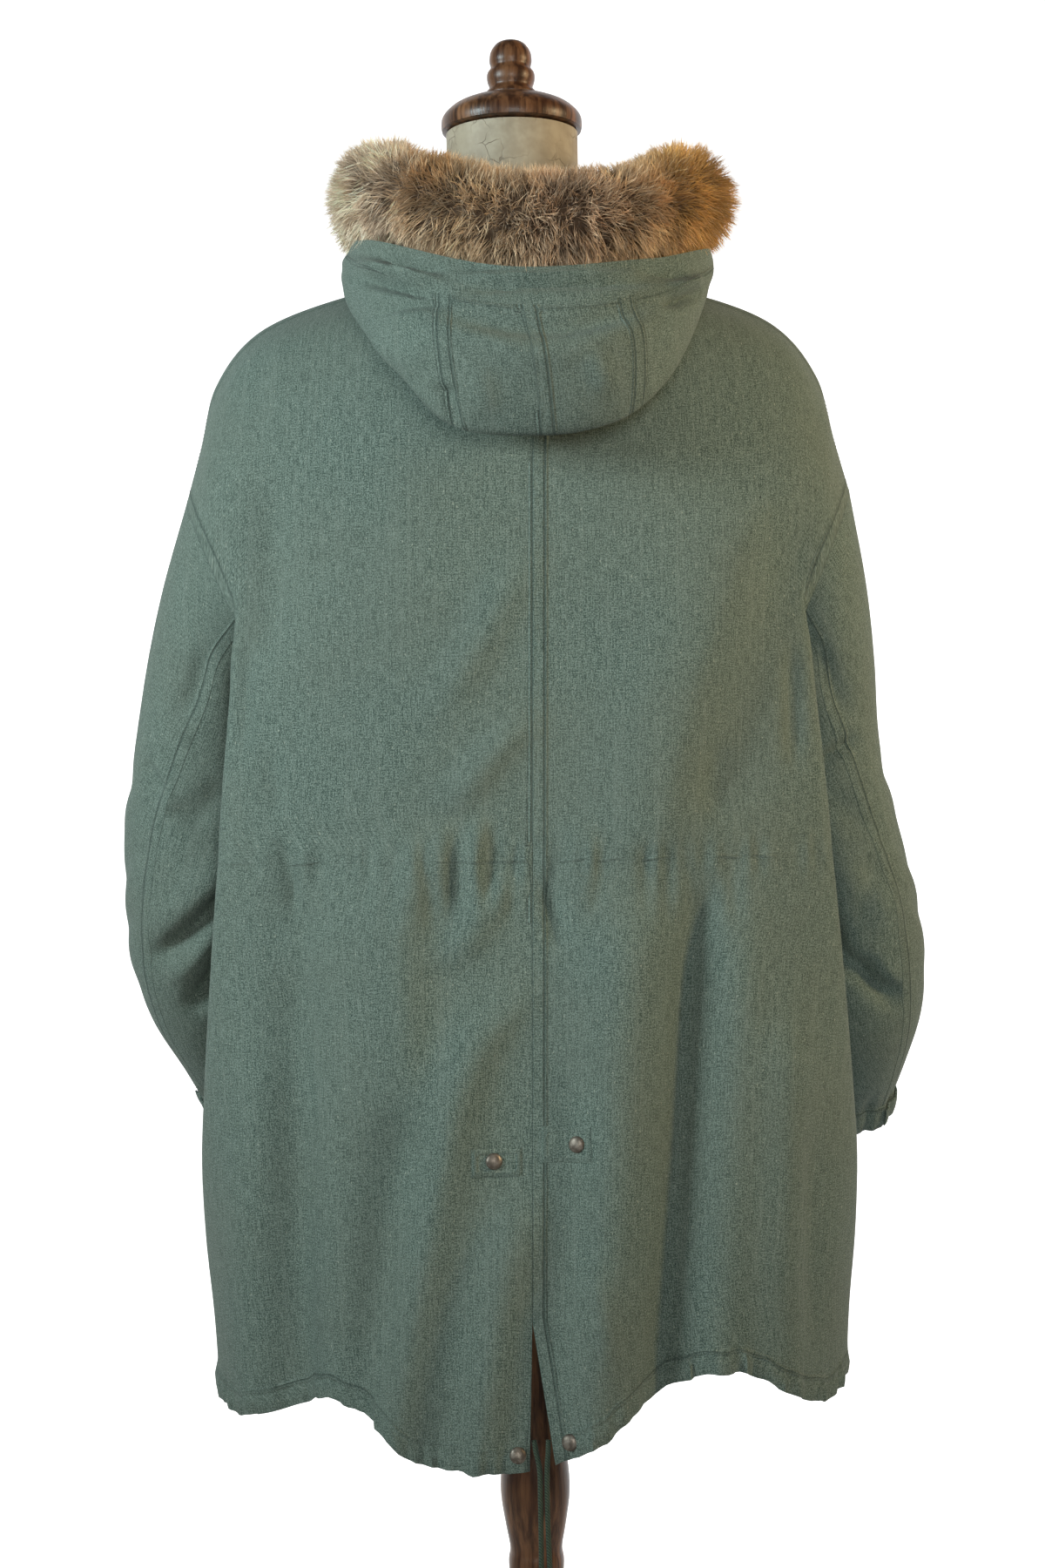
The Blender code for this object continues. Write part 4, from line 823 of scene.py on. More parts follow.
def make_stitches(name, paths, look):
    """Every stitch is a small raised thread between its two holes."""
    vertices = []
    faces = []
    for points, normals in paths:
        length = lengths(points)
        starts = np.arange(STITCH_PITCH / 2, length[-1] - STITCH_LENGTH, STITCH_PITCH)
        first, last = (read_along(starts + shift, length, points) for shift in (0, STITCH_LENGTH))
        up = read_along(starts, length, normals)
        across = STITCH_HALF * unit(np.cross(last - first, up))
        middle = 0.5 * (first + last)
        base = len(vertices)
        block = np.stack([first + 0.0001 * up, middle + across, middle + STITCH_RISE * up,
                          middle - across, last + 0.0001 * up], axis=1)
        vertices.extend(block.reshape(-1, 3))
        for a in range(base, len(vertices), 5):
            faces += [(a, a + 2, a + 1), (a, a + 3, a + 2), (a + 4, a + 1, a + 2), (a + 4, a + 2, a + 3)]
    declare(make_mesh(name, vertices, faces, look, 180))


# The fur ruff: a fat roll round the hood's rim, open at the throat.
RUFF_COLUMNS = ("turn", "x", "y", "z", "radius")
RUFF_STATIONS = (
    (-1.00, -52, 150, 1472, 30),
    (-0.78, -112, 78, 1518, 40),
    (-0.56, -117, -18, 1534, 46),
    (-0.34, -99, -112, 1517, 46),
    (0.00, 6, -178, 1475, 46),
    (0.28, 92, -152, 1487, 46),
    (0.56, 144, -52, 1520, 49),
    (0.78, 124, 75, 1512, 42),
    (1.00, 56, 150, 1472, 30),
)
RIM_LEAN = 60
RIM_GAP = 0.0017


def ruff_line(turns):
    source = table(RUFF_COLUMNS, RUFF_STATIONS, ("turn",))
    centres = smooth(source["turn"], np.stack([source[axis] for axis in "xyz"], axis=1), turns)
    radii = smooth(source["turn"], source["radius"], turns)
    heading = unit(np.gradient(centres, axis=0))
    outward = unit(np.stack([heading[:, 1], -heading[:, 0], np.zeros(len(turns))], axis=1))
    rise = np.cross(outward, heading)
    rise[rise[:, 2] < 0] *= -1
    return centres, outward, rise, heading, radii


def ruff_seats(turns):
    """Where the hood's rim meets the ruff from below."""
    centres, outward, rise, _, radii = ruff_line(turns)
    lean = math.radians(RIM_LEAN)
    return centres + (radii + RIM_GAP)[:, None] * (math.cos(lean) * outward - math.sin(lean) * rise)


# The hood hangs open on the back. Each row is a section from one front edge round to the other:
# neck seam angle, the fold it hangs to, and how far the outer wall swells up to the ruff.
HOOD_COLUMNS = ("turn", "neck_turn", "fold_x", "fold_y", "fold_z", "swell")
HOOD_SECTIONS = (
    (-1.00, -172, -50, 128, 1412, 4),
    (-0.80, -135, -122, 74, 1450, 6),
    (-0.60, -95, -140, -20, 1466, 8),
    (-0.42, -65, -138, -104, 1420, 8),
    (-0.26, -38, -92, -178, 1350, 17),
    (-0.12, -16, -48, -197, 1306, 29),
    (0.00, 2, 20, -200, 1298, 30),
    (0.12, 18, 78, -196, 1308, 28),
    (0.26, 40, 122, -172, 1344, 14),
    (0.42, 66, 154, -104, 1410, 8),
    (0.60, 95, 158, -20, 1460.5, 8),
    (0.80, 135, 128, 74, 1448.5, 6),
    (1.00, 172, 50, 128, 1412, 4),
)
HOOD_BAND_SHARE = 0.90
HOOD_CUTS = (-0.125, 0.0, 0.18)
HOOD_TURNS = 288
HOOD_ROWS = 90
HOOD_NECK_EASE = 0.002
NECK_SIDE_Z = 1.470
NECK_BACK_Z = 1.480
NECK_FRONT_Z = 1.420
HOOD_NECK_LIFT = 0.0034
HOOD_INNER_SHARE = 0.55
HOOD_OUTER_SHARE = 0.45
HOOD_INNER_LIFT = 0.12
HOOD_INNER_OUT = 0.08


def neck_point(angle):
    """The neck seam just above the neckline, by degrees from the centre back."""
    turn = math.radians(angle)
    front = max(0.0, -math.cos(turn))
    depth = NECK_BACK_DEPTH if front == 0 else NECK_FRONT_DEPTH
    depth += HOOD_NECK_EASE
    width = NECK_HALF_WIDTH + HOOD_NECK_EASE
    high = NECK_SIDE_Z + (NECK_BACK_Z - NECK_SIDE_Z) * max(0.0, math.cos(turn)) ** 2
    z = high + (NECK_FRONT_Z - NECK_SIDE_Z) * front ** 1.6
    return np.array((width * math.sin(turn), -depth * math.cos(turn), z + HOOD_NECK_LIFT))


def hood_grid():
    """The hood's outer face: rows from the neck seam to the rim, columns left to right."""
    source = table(HOOD_COLUMNS, HOOD_SECTIONS, ("turn", "neck_turn"))
    turns = np.linspace(-1, 1, HOOD_TURNS + 1)
    read = {name: smooth(source["turn"], source[name], turns) for name in HOOD_COLUMNS[1:]}
    columns = []
    for index, rim in enumerate(ruff_seats(turns)):
        neck = neck_point(read["neck_turn"][index])
        fold = np.array([read["fold_" + axis][index] for axis in "xyz"])
        out = np.array((fold[0], fold[1], 0.0)) / math.hypot(fold[0], fold[1])
        drop = neck[2] - fold[2]
        inner = neck + HOOD_INNER_SHARE * (fold - neck) + HOOD_INNER_OUT * drop * out
        inner[2] += HOOD_INNER_LIFT * drop
        outer = fold + HOOD_OUTER_SHARE * (rim - fold) + read["swell"][index] * out
        columns.append(spread(np.array((neck, inner, fold, outer, rim)), 0, 4, HOOD_ROWS))
    return np.array(columns).transpose(1, 0, 2)


# Dress form: superellipse rings, then a round neck.
FORM_COLUMNS = ("z", "half_width", "half_depth", "power")
FORM_RINGS = (
    (700, 148, 108, 2.2),
    (780, 166, 126, 2.2),
    (860, 166, 128, 2.2),
    (960, 142, 112, 2.2),
    (1050, 128, 100, 2.2),
    (1150, 144, 110, 2.2),
    (1250, 164, 120, 2.3),
    (1320, 180, 106, 2.4),
    (1370, 198, 80, 2.3),
    (1402, 200, 54, 2.2),
    (1432.7, 188, 30, 2.1),
    (1445.5, 142, 32, 2.0),
    (1455, 98, 34, 2.0),
    (1462, 66, 42, 2.0),
    (1474, 58, 50, 2.0),
    (1540, 58, 55, 2.0),
    (1594, 58, 56, 2.0),
)
# Turned woods: radius and Z of each profile.
PROFILES = {
    "form_cap": ((0, 1594.5), (61, 1594.5), (62.5, 1601), (61.5, 1609), (52, 1618), (36, 1624.5),
                 (0, 1624.5)),
    "form_finial": ((0, 1624.9), (22.5, 1624.9), (23.5, 1630), (18.5, 1634.5), (21.2, 1641), (21.2, 1648),
                    (17.2, 1652.5), (19, 1658), (18, 1667), (12, 1675), (0, 1678)),
    "stand_post": ((0, 30.4), (30, 30.4), (30, 45), (22, 56), (19, 100), (20, 280), (24.5, 330),
                   (24.5, 338), (22.5, 346), (26.5, 366), (31, 394), (30, 418), (22.5, 470), (20, 540),
                   (20, 690), (30, 699.7), (0, 699.7)),
    "stand_base": ((0, 0), (190, 0), (195, 6), (195, 18), (182, 26), (50, 30), (0, 30)),
}

# Snap tabs: X from and to, Z from and to, then X and Z of the snap. Snaps of the tails, as X and Z.
SNAP_TABS = (("left", -0.047, -0.006, 0.702, 0.725, -0.029, 0.7148),
             ("right", 0.010, 0.050, 0.713, 0.742, 0.0384, 0.7275))
TAIL_SNAPS = (("snap_tail_left", -0.0135, 0.4815), ("snap_tail_right", 0.0285, 0.4920))


WAIST_Z = 0.957
HEM_CASING = 0.019
SEAM_FADE = 0.030

# Distances of the stitched lines from the edges of the cloth.
TWIN = 0.0101
CENTRE_LINE = 0.0005
SIDE_LINE = 0.0008
FINE_LINE = 0.0006
RIM_LINE = 0.0035
CUFF_LOW_LINE = 0.004
CUFF_HIGH_LINE = 0.003
TAB_LINE = 0.0022
FLY_LINE = 0.006

# The cloth's look has grooves at 0 and 0.010 from a seam. A lone line is measured from 0.010 on, and
# the far side of a seam is negative as far as the lap under it.
LONE_LINE = 0.010
WAIST_LINE = 0.0108
UNDER_LAP = 0.004

# Gathers: height and pitch of each small wave, then where it lies and how far it reaches.
WAIST_GATHER = (0.0016, 0.019, 0.014)
HEM_GATHERS = ((0.0020, 0.014), (0.0024, 0.036))
HEM_GATHER_REACH = (0.034, 0.030)
HEM_ROLL = (0.0016, 0.009, 0.007)
CUFF_GATHER = (0.0016, 0.028)
RIM_GATHER = (0.0016, 0.021, 0.022, 0.024)

# Walls of the smaller pieces, thicker where they stand for folded cloth.
CUFF_WALL = 0.0019
CUFF_TAB_WALL = 0.0017
CUFF_TAB_RISE = 0.0024
TAB_WALL = 0.0010
FLY_WALL = 0.0016

STITCHES = {"back": [], "front": [], "sleeves": [], "hood": []}


def pucker(along, pitch):
    """An uneven small wave, as cloth makes where a cord or a seam draws it in."""
    wander = np.sin(along * 41.0) + 0.6 * np.sin(along * 97.0 + 1.3)
    first = np.sin(2 * math.pi * along / pitch + 2.2 * wander)
    return first * (0.65 + 0.35 * np.sin(along * 133.0 + 0.7))


def stitch(group, points, normals, edges, *distances, start=0):
    """Notes stitched lines that keep their distances from the edges."""
    STITCHES[group] += [edge_path(points, normals, edge, distance, start)
                        for edge in edges for distance in distances]


def hump(at, height, middle, reach):
    """A round swell about one place."""
    return height * np.exp(-((at - middle) / reach) ** 2)


def level_path(points, normals, height):
    """A line round the cloth at one height."""
    points, normals = points.transpose(1, 0, 2), normals.transpose(1, 0, 2)
    return cross_path(points, normals, points[..., 2], height)


def dress_body(look):
    """The four body panels with their folds, gathers, seams and stitching."""
    panels = {}
    for side, side_name in SIDES:
        for toward, face_name in ((-1, "back"), (1, "front")):
            points = body_points(side, toward)
            centre, outer_edge = ("right", "left") if side * toward > 0 else ("left", "right")
            normals = grid_normals(points)
            x, z = points[..., 0], points[..., 2]
            from_side = from_edge(points, outer_edge)
            from_hem = from_edge(points, "low")
            facing = ease((normals[..., 1] * toward + 0.15) / 0.4)
            lift = creases(x, z, BACK_CREASES if toward < 0 else FRONT_CREASES) * facing
            height, pitch, reach = WAIST_GATHER
            lift += height * pucker(x, pitch) * np.exp(-((z - WAIST_Z) / reach) ** 2) * facing
            around = from_edge(points, "left")
            casing = ease((HEM_GATHER_REACH[0] - from_hem) / HEM_GATHER_REACH[1])
            for shift, (height, pitch) in zip((0.3 * side, 0), HEM_GATHERS):
                lift += casing * height * pucker(around + shift, pitch)
            lift += hump(from_hem, *HEM_ROLL)
            lift += large_folds(x, z, toward)
            if toward < 0:
                lift += ridges(x, z, BACK_RIDGES) * facing
            lift *= ease(from_side / SEAM_FADE) * ease(from_edge(points, "high") / SEAM_FADE)
            flat = normals.copy()
            flat[..., 2] = 0
            points = points + flat * lift[..., None]
            normals = grid_normals(points)
            edge_column = -1 if centre == "right" else 0
            normals[:, edge_column, 0] = 0
            normals[-1, np.abs(points[-1, :, 0]) > SHOULDER_INNER_X, 1] = 0
            normals = unit(normals)
            panels[face_name + "_" + side_name] = (points, normals)
            near = from_edge(points, centre)
            seam = np.minimum(from_edge(points, outer_edge), from_edge(points, "high"))
            seam = np.minimum(seam, LONE_LINE + np.abs(from_edge(points, "low") - HEM_CASING))
            seam = np.minimum(seam, WAIST_LINE + np.abs(z - WAIST_Z))
            seam = np.where(near < UNDER_LAP, -near, seam) if side < 0 else np.minimum(seam, near)
            low_rows = ROW_STEPS[toward][0]
            uv = cloth_uv(points, low_rows, edge_column)
            make_cloth(face_name + "_" + side_name, points, normals, look, seam, uv)
            stitch(face_name, points, normals, (centre,), TWIN if side > 0 else CENTRE_LINE)
            stitch(face_name, points, normals, ("low",), HEM_CASING)
            start = 0 if toward < 0 else low_rows
            stitch(face_name, points, normals, (outer_edge,), SIDE_LINE, TWIN, start=start)
            STITCHES[face_name].append(level_path(points, normals, WAIST_Z))
            if toward < 0:
                stitch("back", points, normals, ("high",), TWIN)
    return panels


# Elbow darts, as X and Z.
DARTS = {-1: ((-0.330, 1.048), (-0.318, 1.038), (-0.306, 1.020)),
         1: ((0.296, 1.053), (0.276, 1.039), (0.260, 1.031))}
CUFF_LENGTH = 0.034
CUFF_FLARE = 0.94
CUFF_SWELL = 0.0018
SLEEVE_SEAMS = (18, 78)


def dress_sleeve(side, side_name, look):
    """Top sleeve and under sleeve of one arm, and its cuff."""
    points = sleeve_points(side)
    back, front = SLEEVE_SEAMS if side < 0 else [SLEEVE_STEPS - column for column in SLEEVE_SEAMS]
    normals = grid_normals(points, closed=True)
    centre = points.mean(axis=1, keepdims=True)
    if ((points - centre) * normals).sum() < 0:
        points = points[:, ::-1]
        normals = grid_normals(points, closed=True)
        back, front = [SLEEVE_STEPS - 1 - column for column in (back, front)]
    x, y, z = points[..., 0], points[..., 1], points[..., 2]
    ahead, outward = normals[..., 1], normals[..., 0] * side
    lift = creases(x, z, SLEEVE_CREASES[side]) * (ease((0.1 - ahead) / 0.5) + 0.7 * ease((ahead - 0.3) / 0.5))
    lift += 0.5 * creases(y, z, SIDE_CREASES) * (ease((outward - 0.2) / 0.5) + ease((-outward - 0.4) / 0.5))
    from_wrist = from_edge(points, "low")
    turn = full_turn(SLEEVE_STEPS)
    gather = np.sin(13 * turn + 1.4 * np.sin(3 * turn)) + 0.5 * np.sin(21 * turn + 1.0)
    lift *= ease(from_edge(points, "high") / SEAM_FADE) * ease((from_wrist + 0.01) / 0.04)
    lift += gather * hump(from_wrist, CUFF_GATHER[0], 0, CUFF_GATHER[1])
    points = points + normals * lift[..., None]
    normals = grid_normals(points, closed=True)
    STITCHES["sleeves"].append(Surface([(points, normals)]).path(DARTS[side]))
    first, last = sorted((back, front))
    inside = np.arange(first, last + 1)
    outside = np.concatenate([np.arange(last, SLEEVE_STEPS), np.arange(0, first + 1)])
    under, top = (outside, inside) if len(outside) < len(inside) else (inside, outside)
    for name, columns in (("under_sleeve_", under), ("top_sleeve_", top)):
        part, faces = points[:, columns], normals[:, columns]
        seam = np.full(part.shape[:2], NO_SEAM)
        if name == "top_sleeve_":
            seam = np.minimum(from_edge(part, "left"), from_edge(part, "right"))
            stitch("sleeves", part, faces, ("left", "right"), FINE_LINE, TWIN)
        make_cloth(name + side_name, part, faces, look, seam)
    dress_cuff(points, side, side_name, look)


def dress_cuff(points, side, side_name, look):
    """A narrow band round the sleeve's lowest ring, with its tab on the outer side."""
    wrist = points[0, [*range(SLEEVE_STEPS), 0]]
    middle = points[0].mean(axis=0)
    along = unit(middle - points[6].mean(axis=0))
    low = middle + CUFF_LENGTH * along + CUFF_FLARE * (wrist - middle)
    shares = np.linspace(0, 1, 13)[:, None, None]
    band = low + shares * (wrist - low)
    band = band + grid_normals(band) * np.sin(math.pi * shares) * CUFF_SWELL
    out = grid_normals(band)
    out[:, 0] = out[:, -1] = out[:, 0] + out[:, -1]
    out = unit(out)
    seam = LONE_LINE + np.minimum(np.abs(from_edge(band, "low") - CUFF_LOW_LINE),
                                  np.abs(from_edge(band, "high") - CUFF_HIGH_LINE))
    make_cloth("cuff_" + side_name, band, out, look, seam, wall=CUFF_WALL)
    stitch("sleeves", band, out, ("low",), CUFF_LOW_LINE)
    stitch("sleeves", band, out, ("high",), CUFF_HIGH_LINE)
    outermost = int(np.argmax(side * band[6, :, 0] - 0.6 * band[6, :, 1]))
    picks = (outermost + np.arange(-6, 7)) % SLEEVE_STEPS
    rise = out[2:11][:, picks]
    tab = band[2:11][:, picks] + rise * CUFF_TAB_RISE
    make_cloth("cuff_tab_" + side_name, tab, rise, look, wall=CUFF_TAB_WALL)


def dress_hood(look):
    """Sides, crowns and bands of the hood."""
    points = hood_grid()
    normals = grid_normals(points)
    x, z = points[..., 0], points[..., 2]
    behind = ease((0.15 - normals[..., 1]) / 0.5)
    lift = creases(x, z, HOOD_CREASES) * behind
    rim_gap = from_edge(points, "high")
    along = from_edge(points, "left")
    height, pitch, middle, reach = RIM_GATHER
    wave = np.sin(2 * math.pi * rim_gap / pitch + 1.6 * np.sin(along * 9))
    lift += wave * hump(rim_gap, height, middle, reach) * (0.6 + 0.4 * np.sin(along * 23))
    lift *= ease(rim_gap / 0.012) * ease(from_edge(points, "low") / 0.02)
    points = points + normals * lift[..., None]
    normals = grid_normals(points)
    cuts = [0, *(int(round((turn + 1) / 2 * HOOD_TURNS)) for turn in HOOD_CUTS), HOOD_TURNS]
    band_row = int(round(HOOD_BAND_SHARE * HOOD_ROWS))
    names = ("hood_side_left", "hood_crown_left", "hood_crown_right", "hood_side_right")
    signs = ((None, -1), (1, -1), (1, 1), (-1, None))
    uv = cloth_uv(points, band_row, cuts[2])
    for name, first, last, (left, right) in zip(names, cuts, cuts[1:], signs):
        window = (slice(0, band_row + 1), slice(first, last + 1))
        part, faces = points[window], normals[window]
        seam = LONE_LINE + np.abs(from_edge(part, "high") - RIM_LINE)
        for edge, sign in (("left", left), ("right", right)):
            if sign is None:
                continue
            near = from_edge(part, edge)
            if sign > 0:
                seam = np.minimum(seam, near)
                stitch("hood", part, faces, (edge,), TWIN, FINE_LINE)
            else:
                seam = np.where(near < UNDER_LAP, -near, seam)
        stitch("hood", part, faces, ("high",), RIM_LINE)
        make_cloth(name, part, faces, look, seam, uv[window])
    for name, first, last in (("hood_band_left", 0, cuts[2]), ("hood_band_right", cuts[2], HOOD_TURNS)):
        window = (slice(band_row, None), slice(first, last + 1))
        make_cloth(name, points[window], normals[window], look, None, uv[window])


class Surface:
    """Rays onto cloth, for what lies on it."""

    def __init__(self, grids):
        self.trees = []
        for points, _ in grids:
            quads = grid_quads(*points.shape[:2])[1].tolist()
            self.trees.append(BVHTree.FromPolygons([Vector(p) for p in points.reshape(-1, 3)], quads))

    def hit(self, x, z, toward):
        best = None
        for tree in self.trees:
            place, normal, _, reach = tree.ray_cast(Vector((x, toward, z)), Vector((0, -toward, 0)))
            if place is not None and (best is None or reach < best[2]):
                best = (np.array(place), np.array(normal) * (1 if normal.y * toward > 0 else -1), reach)
        if best is None:
            raise ValueError("no cloth at %.3f, %.3f" % (x, z))
        return best[:2]

    def path(self, corners, toward=-1, step=0.004):
        """A line over the cloth through corners given as X and height."""
        corners = np.array(corners)
        length = lengths(corners)
        at = np.linspace(0, length[-1], max(2, int(length[-1] / step) + 1))
        hits = np.array([self.hit(*(float(np.interp(a, length, corners[:, axis])) for axis in (0, 1)), toward)
                         for a in at])
        return hits[:, 0], hits[:, 1]


# Fur colours by place on the ruff: X, height, reach across and up, and colour.
FUR_PATCHES = (
    (-0.112, 1.520, 0.034, 0.040, (0.84, 0.66, 0.49)),
    (-0.118, 1.470, 0.036, 0.026, (0.76, 0.56, 0.40)),
    (-0.072, 1.514, 0.022, 0.026, (0.40, 0.215, 0.070)),
    (-0.060, 1.480, 0.026, 0.022, (0.66, 0.47, 0.29)),
    (-0.010, 1.495, 0.034, 0.040, (0.66, 0.47, 0.29)),
    (0.040, 1.490, 0.040, 0.040, (0.50, 0.34, 0.22)),
    (0.095, 1.495, 0.032, 0.044, (0.62, 0.43, 0.25)),
    (0.140, 1.508, 0.026, 0.034, (0.56, 0.31, 0.085)),
    (0.160, 1.488, 0.026, 0.034, (0.60, 0.34, 0.105)),
    (0.150, 1.450, 0.030, 0.022, (0.80, 0.60, 0.36)),
)
FUR_TUFTS = 5200
FUR_HAIRS = 12
FUR_SPREAD = 0.0048
FUR_CORE = 0.60
FUR_GIRTHS = (0.00030, 0.00034, 0.00022)
FUR_PALE = np.array((0.90, 0.78, 0.60))
FUR_DARK = np.array((0.050, 0.026, 0.014))
FUR_ROOTS = (0.085, 0.052, 0.030)
FUR_PIECES = (("left", -1.0, -0.33), ("middle", -0.33, 0.33), ("right", 0.33, 1.0))
FUR_LEAN = 0.22
FUR_RUFFLE = 0.10
FUR_DROOP = np.array((0.0, -0.10, -0.30))
FUR_LENGTHS = (0.86, 1.10)
FUR_SHADES = (0.62, 1.26)
FUR_MARKS = (0.0, 0.36, 0.70, 1.0)
FUR_DEPTHS = (0.36, 0.36, 0.84, 0.84, 1.12, 1.12)
FUR_END = 0.06
FUR_END_DROP = 0.014
FUR_SWELLS = ((-0.62, 0.05, 0.10), (-0.40, 0.05, 0.10), (-0.27, 0.04, -0.12), (0.02, 0.10, 0.04),
              (0.33, 0.05, -0.08), (0.56, 0.08, 0.10))


def fur_colours(roots):
    """Colour of each hair, blended from the patches near its root."""
    weights = []
    for x, z, reach_x, reach_z, _ in FUR_PATCHES:
        away = ((roots[:, 0] - x) / reach_x) ** 2 + ((roots[:, 2] - z) / reach_z) ** 2
        weights.append(np.exp(-away) + 1e-4)
    weights = np.stack(weights, axis=1)
    colours = np.array([patch[4] for patch in FUR_PATCHES])
    return (weights[..., None] * colours).sum(axis=1) / weights.sum(axis=1, keepdims=True)


def ruff_frame(turns):
    """Centres, the directions across, up and along, and radii, with the fur's own swells."""
    knots = np.linspace(-1, 1, 401)
    *grids, radii = ruff_line(knots)
    read = [read_along(turns, knots, grid) for grid in grids]
    read[0][:, 2] -= FUR_END_DROP * ease((turns - 0.68) / 0.22)
    swell = sum(height * np.exp(-((turns - at) / wide) ** 2) for at, wide, height in FUR_SWELLS)
    tips = 1 + 0.08 * ease((np.abs(turns) - 0.70) / 0.15)
    return *read, np.interp(turns, knots, radii) * (1 + swell) * tips


def fur_taper(turns):
    """How the roll closes towards its two ends."""
    return np.sqrt(np.clip((1.0 - np.abs(turns)) / FUR_END, 0.0, 1.0))


def dress_ruff():
    """A core with tufts of tapered hairs that part from its middle line, in three pieces."""
    chance = np.random.default_rng(11)
    core = plain_look("dark fur roots", FUR_ROOTS, 0.95)
    turns = np.linspace(-1, 1, 161)
    centres, across, rise, heading, radii = ruff_frame(turns)
    angles = full_turn(32)[::-1, None]
    ring = np.cos(angles) * across[:, None] + np.sin(angles) * rise[:, None]
    tube = centres[:, None] + ring * (FUR_CORE * radii * fur_taper(turns))[:, None, None]
    body = make_mesh("fur_ruff_core", *closed_tube(tube, centres[0], centres[-1]), core, 180)
    declare(body, "fur_ruff")
    look = fur_look()
    for name, low, high in FUR_PIECES:
        tufts = int(FUR_TUFTS * (high - low) / 2)
        turn = np.repeat(chance.uniform(low, high, tufts), FUR_HAIRS)
        angle = np.repeat(chance.uniform(0, 2 * math.pi, tufts), FUR_HAIRS)
        lean = np.repeat(chance.normal(0, FUR_LEAN, (tufts, 3)), FUR_HAIRS, axis=0)
        long = np.repeat(chance.uniform(*FUR_LENGTHS, tufts), FUR_HAIRS)
        shade = np.repeat(chance.uniform(*FUR_SHADES, tufts), FUR_HAIRS)
        shade = shade * (1 + 0.30 * np.sin(31 * turn + 2 * angle) * np.sin(17 * turn - 3 * angle + 1.0))
        total = len(turn)
        centres, across, rise, heading, radii = ruff_frame(turn)
        radial = np.cos(angle)[:, None] * across + np.sin(angle)[:, None] * rise
        sideways = -np.sin(angle)[:, None] * across + np.cos(angle)[:, None] * rise
        offset = chance.normal(0, FUR_SPREAD, (total, 2))
        taper = fur_taper(turn)
        root = centres + radial * (FUR_CORE * radii * 0.97 * taper)[:, None]
        aside = offset[:, :1] * heading + offset[:, 1:] * sideways
        root = root + aside
        toward = radial * (0.25 + 0.75 * taper)[:, None] + lean + FUR_DROOP * 0.4
        toward += chance.normal(0, FUR_RUFFLE, (total, 3))
        toward = unit(toward + (np.sign(turn) * (1 - taper) * 0.9)[:, None] * heading)
        reach = (1 - FUR_CORE) * radii * long * chance.uniform(0.75, 1.12, total) * 1.08
        gather = -0.55 * aside
        curl = chance.normal(0, FUR_RUFFLE, (total, 3)) + FUR_DROOP
        line = [root + toward * (reach * at)[:, None] + gather * at + curl * (reach * at * at)[:, None] * 0.45
                for at in FUR_MARKS]
        wide = unit(np.cross(toward, chance.normal(0, 1, (total, 3))))
        block = [at + wide * half for at, girth in zip(line, FUR_GIRTHS) for half in (-girth, girth)]
        block.append(line[3])
        vertices = np.stack(block, axis=1).reshape(-1, 3)
        base = 7 * np.arange(total)[:, None]
        quads = np.vstack([base + np.array((0, 1, 3, 2)), base + np.array((2, 3, 5, 4))])
        tips = base + np.array((4, 5, 6))
        mesh = bpy.data.meshes.new("fur_" + name)
        mesh.from_pydata((vertices + ORIGIN_SHIFT).tolist(), [], quads.tolist() + tips.tolist())
        colours = fur_colours(root) * shade[:, None]
        grey = chance.uniform(0, 1, total)
        tip = colours * 1.15 + 0.34 * (FUR_PALE - colours) * (grey > 0.45)[:, None]
        tip = np.where((grey < 0.20)[:, None], 0.45 * tip + 0.55 * FUR_DARK, tip)
        tint = np.stack([share * colours for share in FUR_DEPTHS] + [tip], axis=1)
        tint = np.concatenate([np.clip(tint.reshape(-1, 3), 0, 0.9), np.ones((len(vertices), 1))], axis=1)
        layer = mesh.color_attributes.new(name="tint", type="FLOAT_COLOR", domain="POINT")
        layer.data.foreach_set("color", tint.reshape(-1))
        declare(link("fur_" + name, mesh, look))


def rounded(line):
    """A turned profile with its corners cut back twice."""
    for _ in range(2):
        near = 0.78 * line[:-1] + 0.22 * line[1:]
        far = 0.22 * line[:-1] + 0.78 * line[1:]
        line = np.vstack([line[:1], np.stack([near, far], axis=1).reshape(-1, 2), line[-1:]])
    return line


def closed_tube(rings, low, high):
    """Vertices and faces of a tube of rings, closed by a point at each end."""
    count, sides = rings.shape[:2]
    last = count * sides
    faces = []
    for step in range(sides):
        after = (step + 1) % sides
        faces.append((last, after, step))
        faces += [(start + step, start + after, start + sides + after, start + sides + step)
                  for start in range(0, last - sides, sides)]
        faces.append((last + 1, last - sides + step, last - sides + after))
    return np.vstack([rings.reshape(-1, 3), [low], [high]]), faces


def turn_solid(profile, sides):
    """A solid of revolution, from the axis below to the axis above."""
    angles = full_turn(sides)
    rings = np.array([np.stack([radius * np.cos(angles), radius * np.sin(angles), np.full(sides, z)], axis=1)
                      for radius, z in profile[1:-1]])
    return closed_tube(rings, (0, 0, profile[0][1]), (0, 0, profile[-1][1]))


def dress_form(look):
    """Superellipse rings of the torso, closed at the top of the neck."""
    source = table(FORM_COLUMNS, FORM_RINGS, ("power",))
    across, deep = np.cos(full_turn(72)), np.sin(full_turn(72))
    rings = []
    for z in np.linspace(source["z"][0], source["z"][-1], 90):
        width, depth, power = (level(source, name, z) for name in FORM_COLUMNS[1:])
        rings.append(np.stack([width * np.sign(across) * np.abs(across) ** (2 / power),
                               depth * np.sign(deep) * np.abs(deep) ** (2 / power), np.full(72, z)], axis=1))
    tube = closed_tube(np.array(rings), (0, 0, source["z"][0]), (0, 0, source["z"][-1]))
    declare(make_mesh("form_torso_covered", *tube, look, 50), "form_torso")


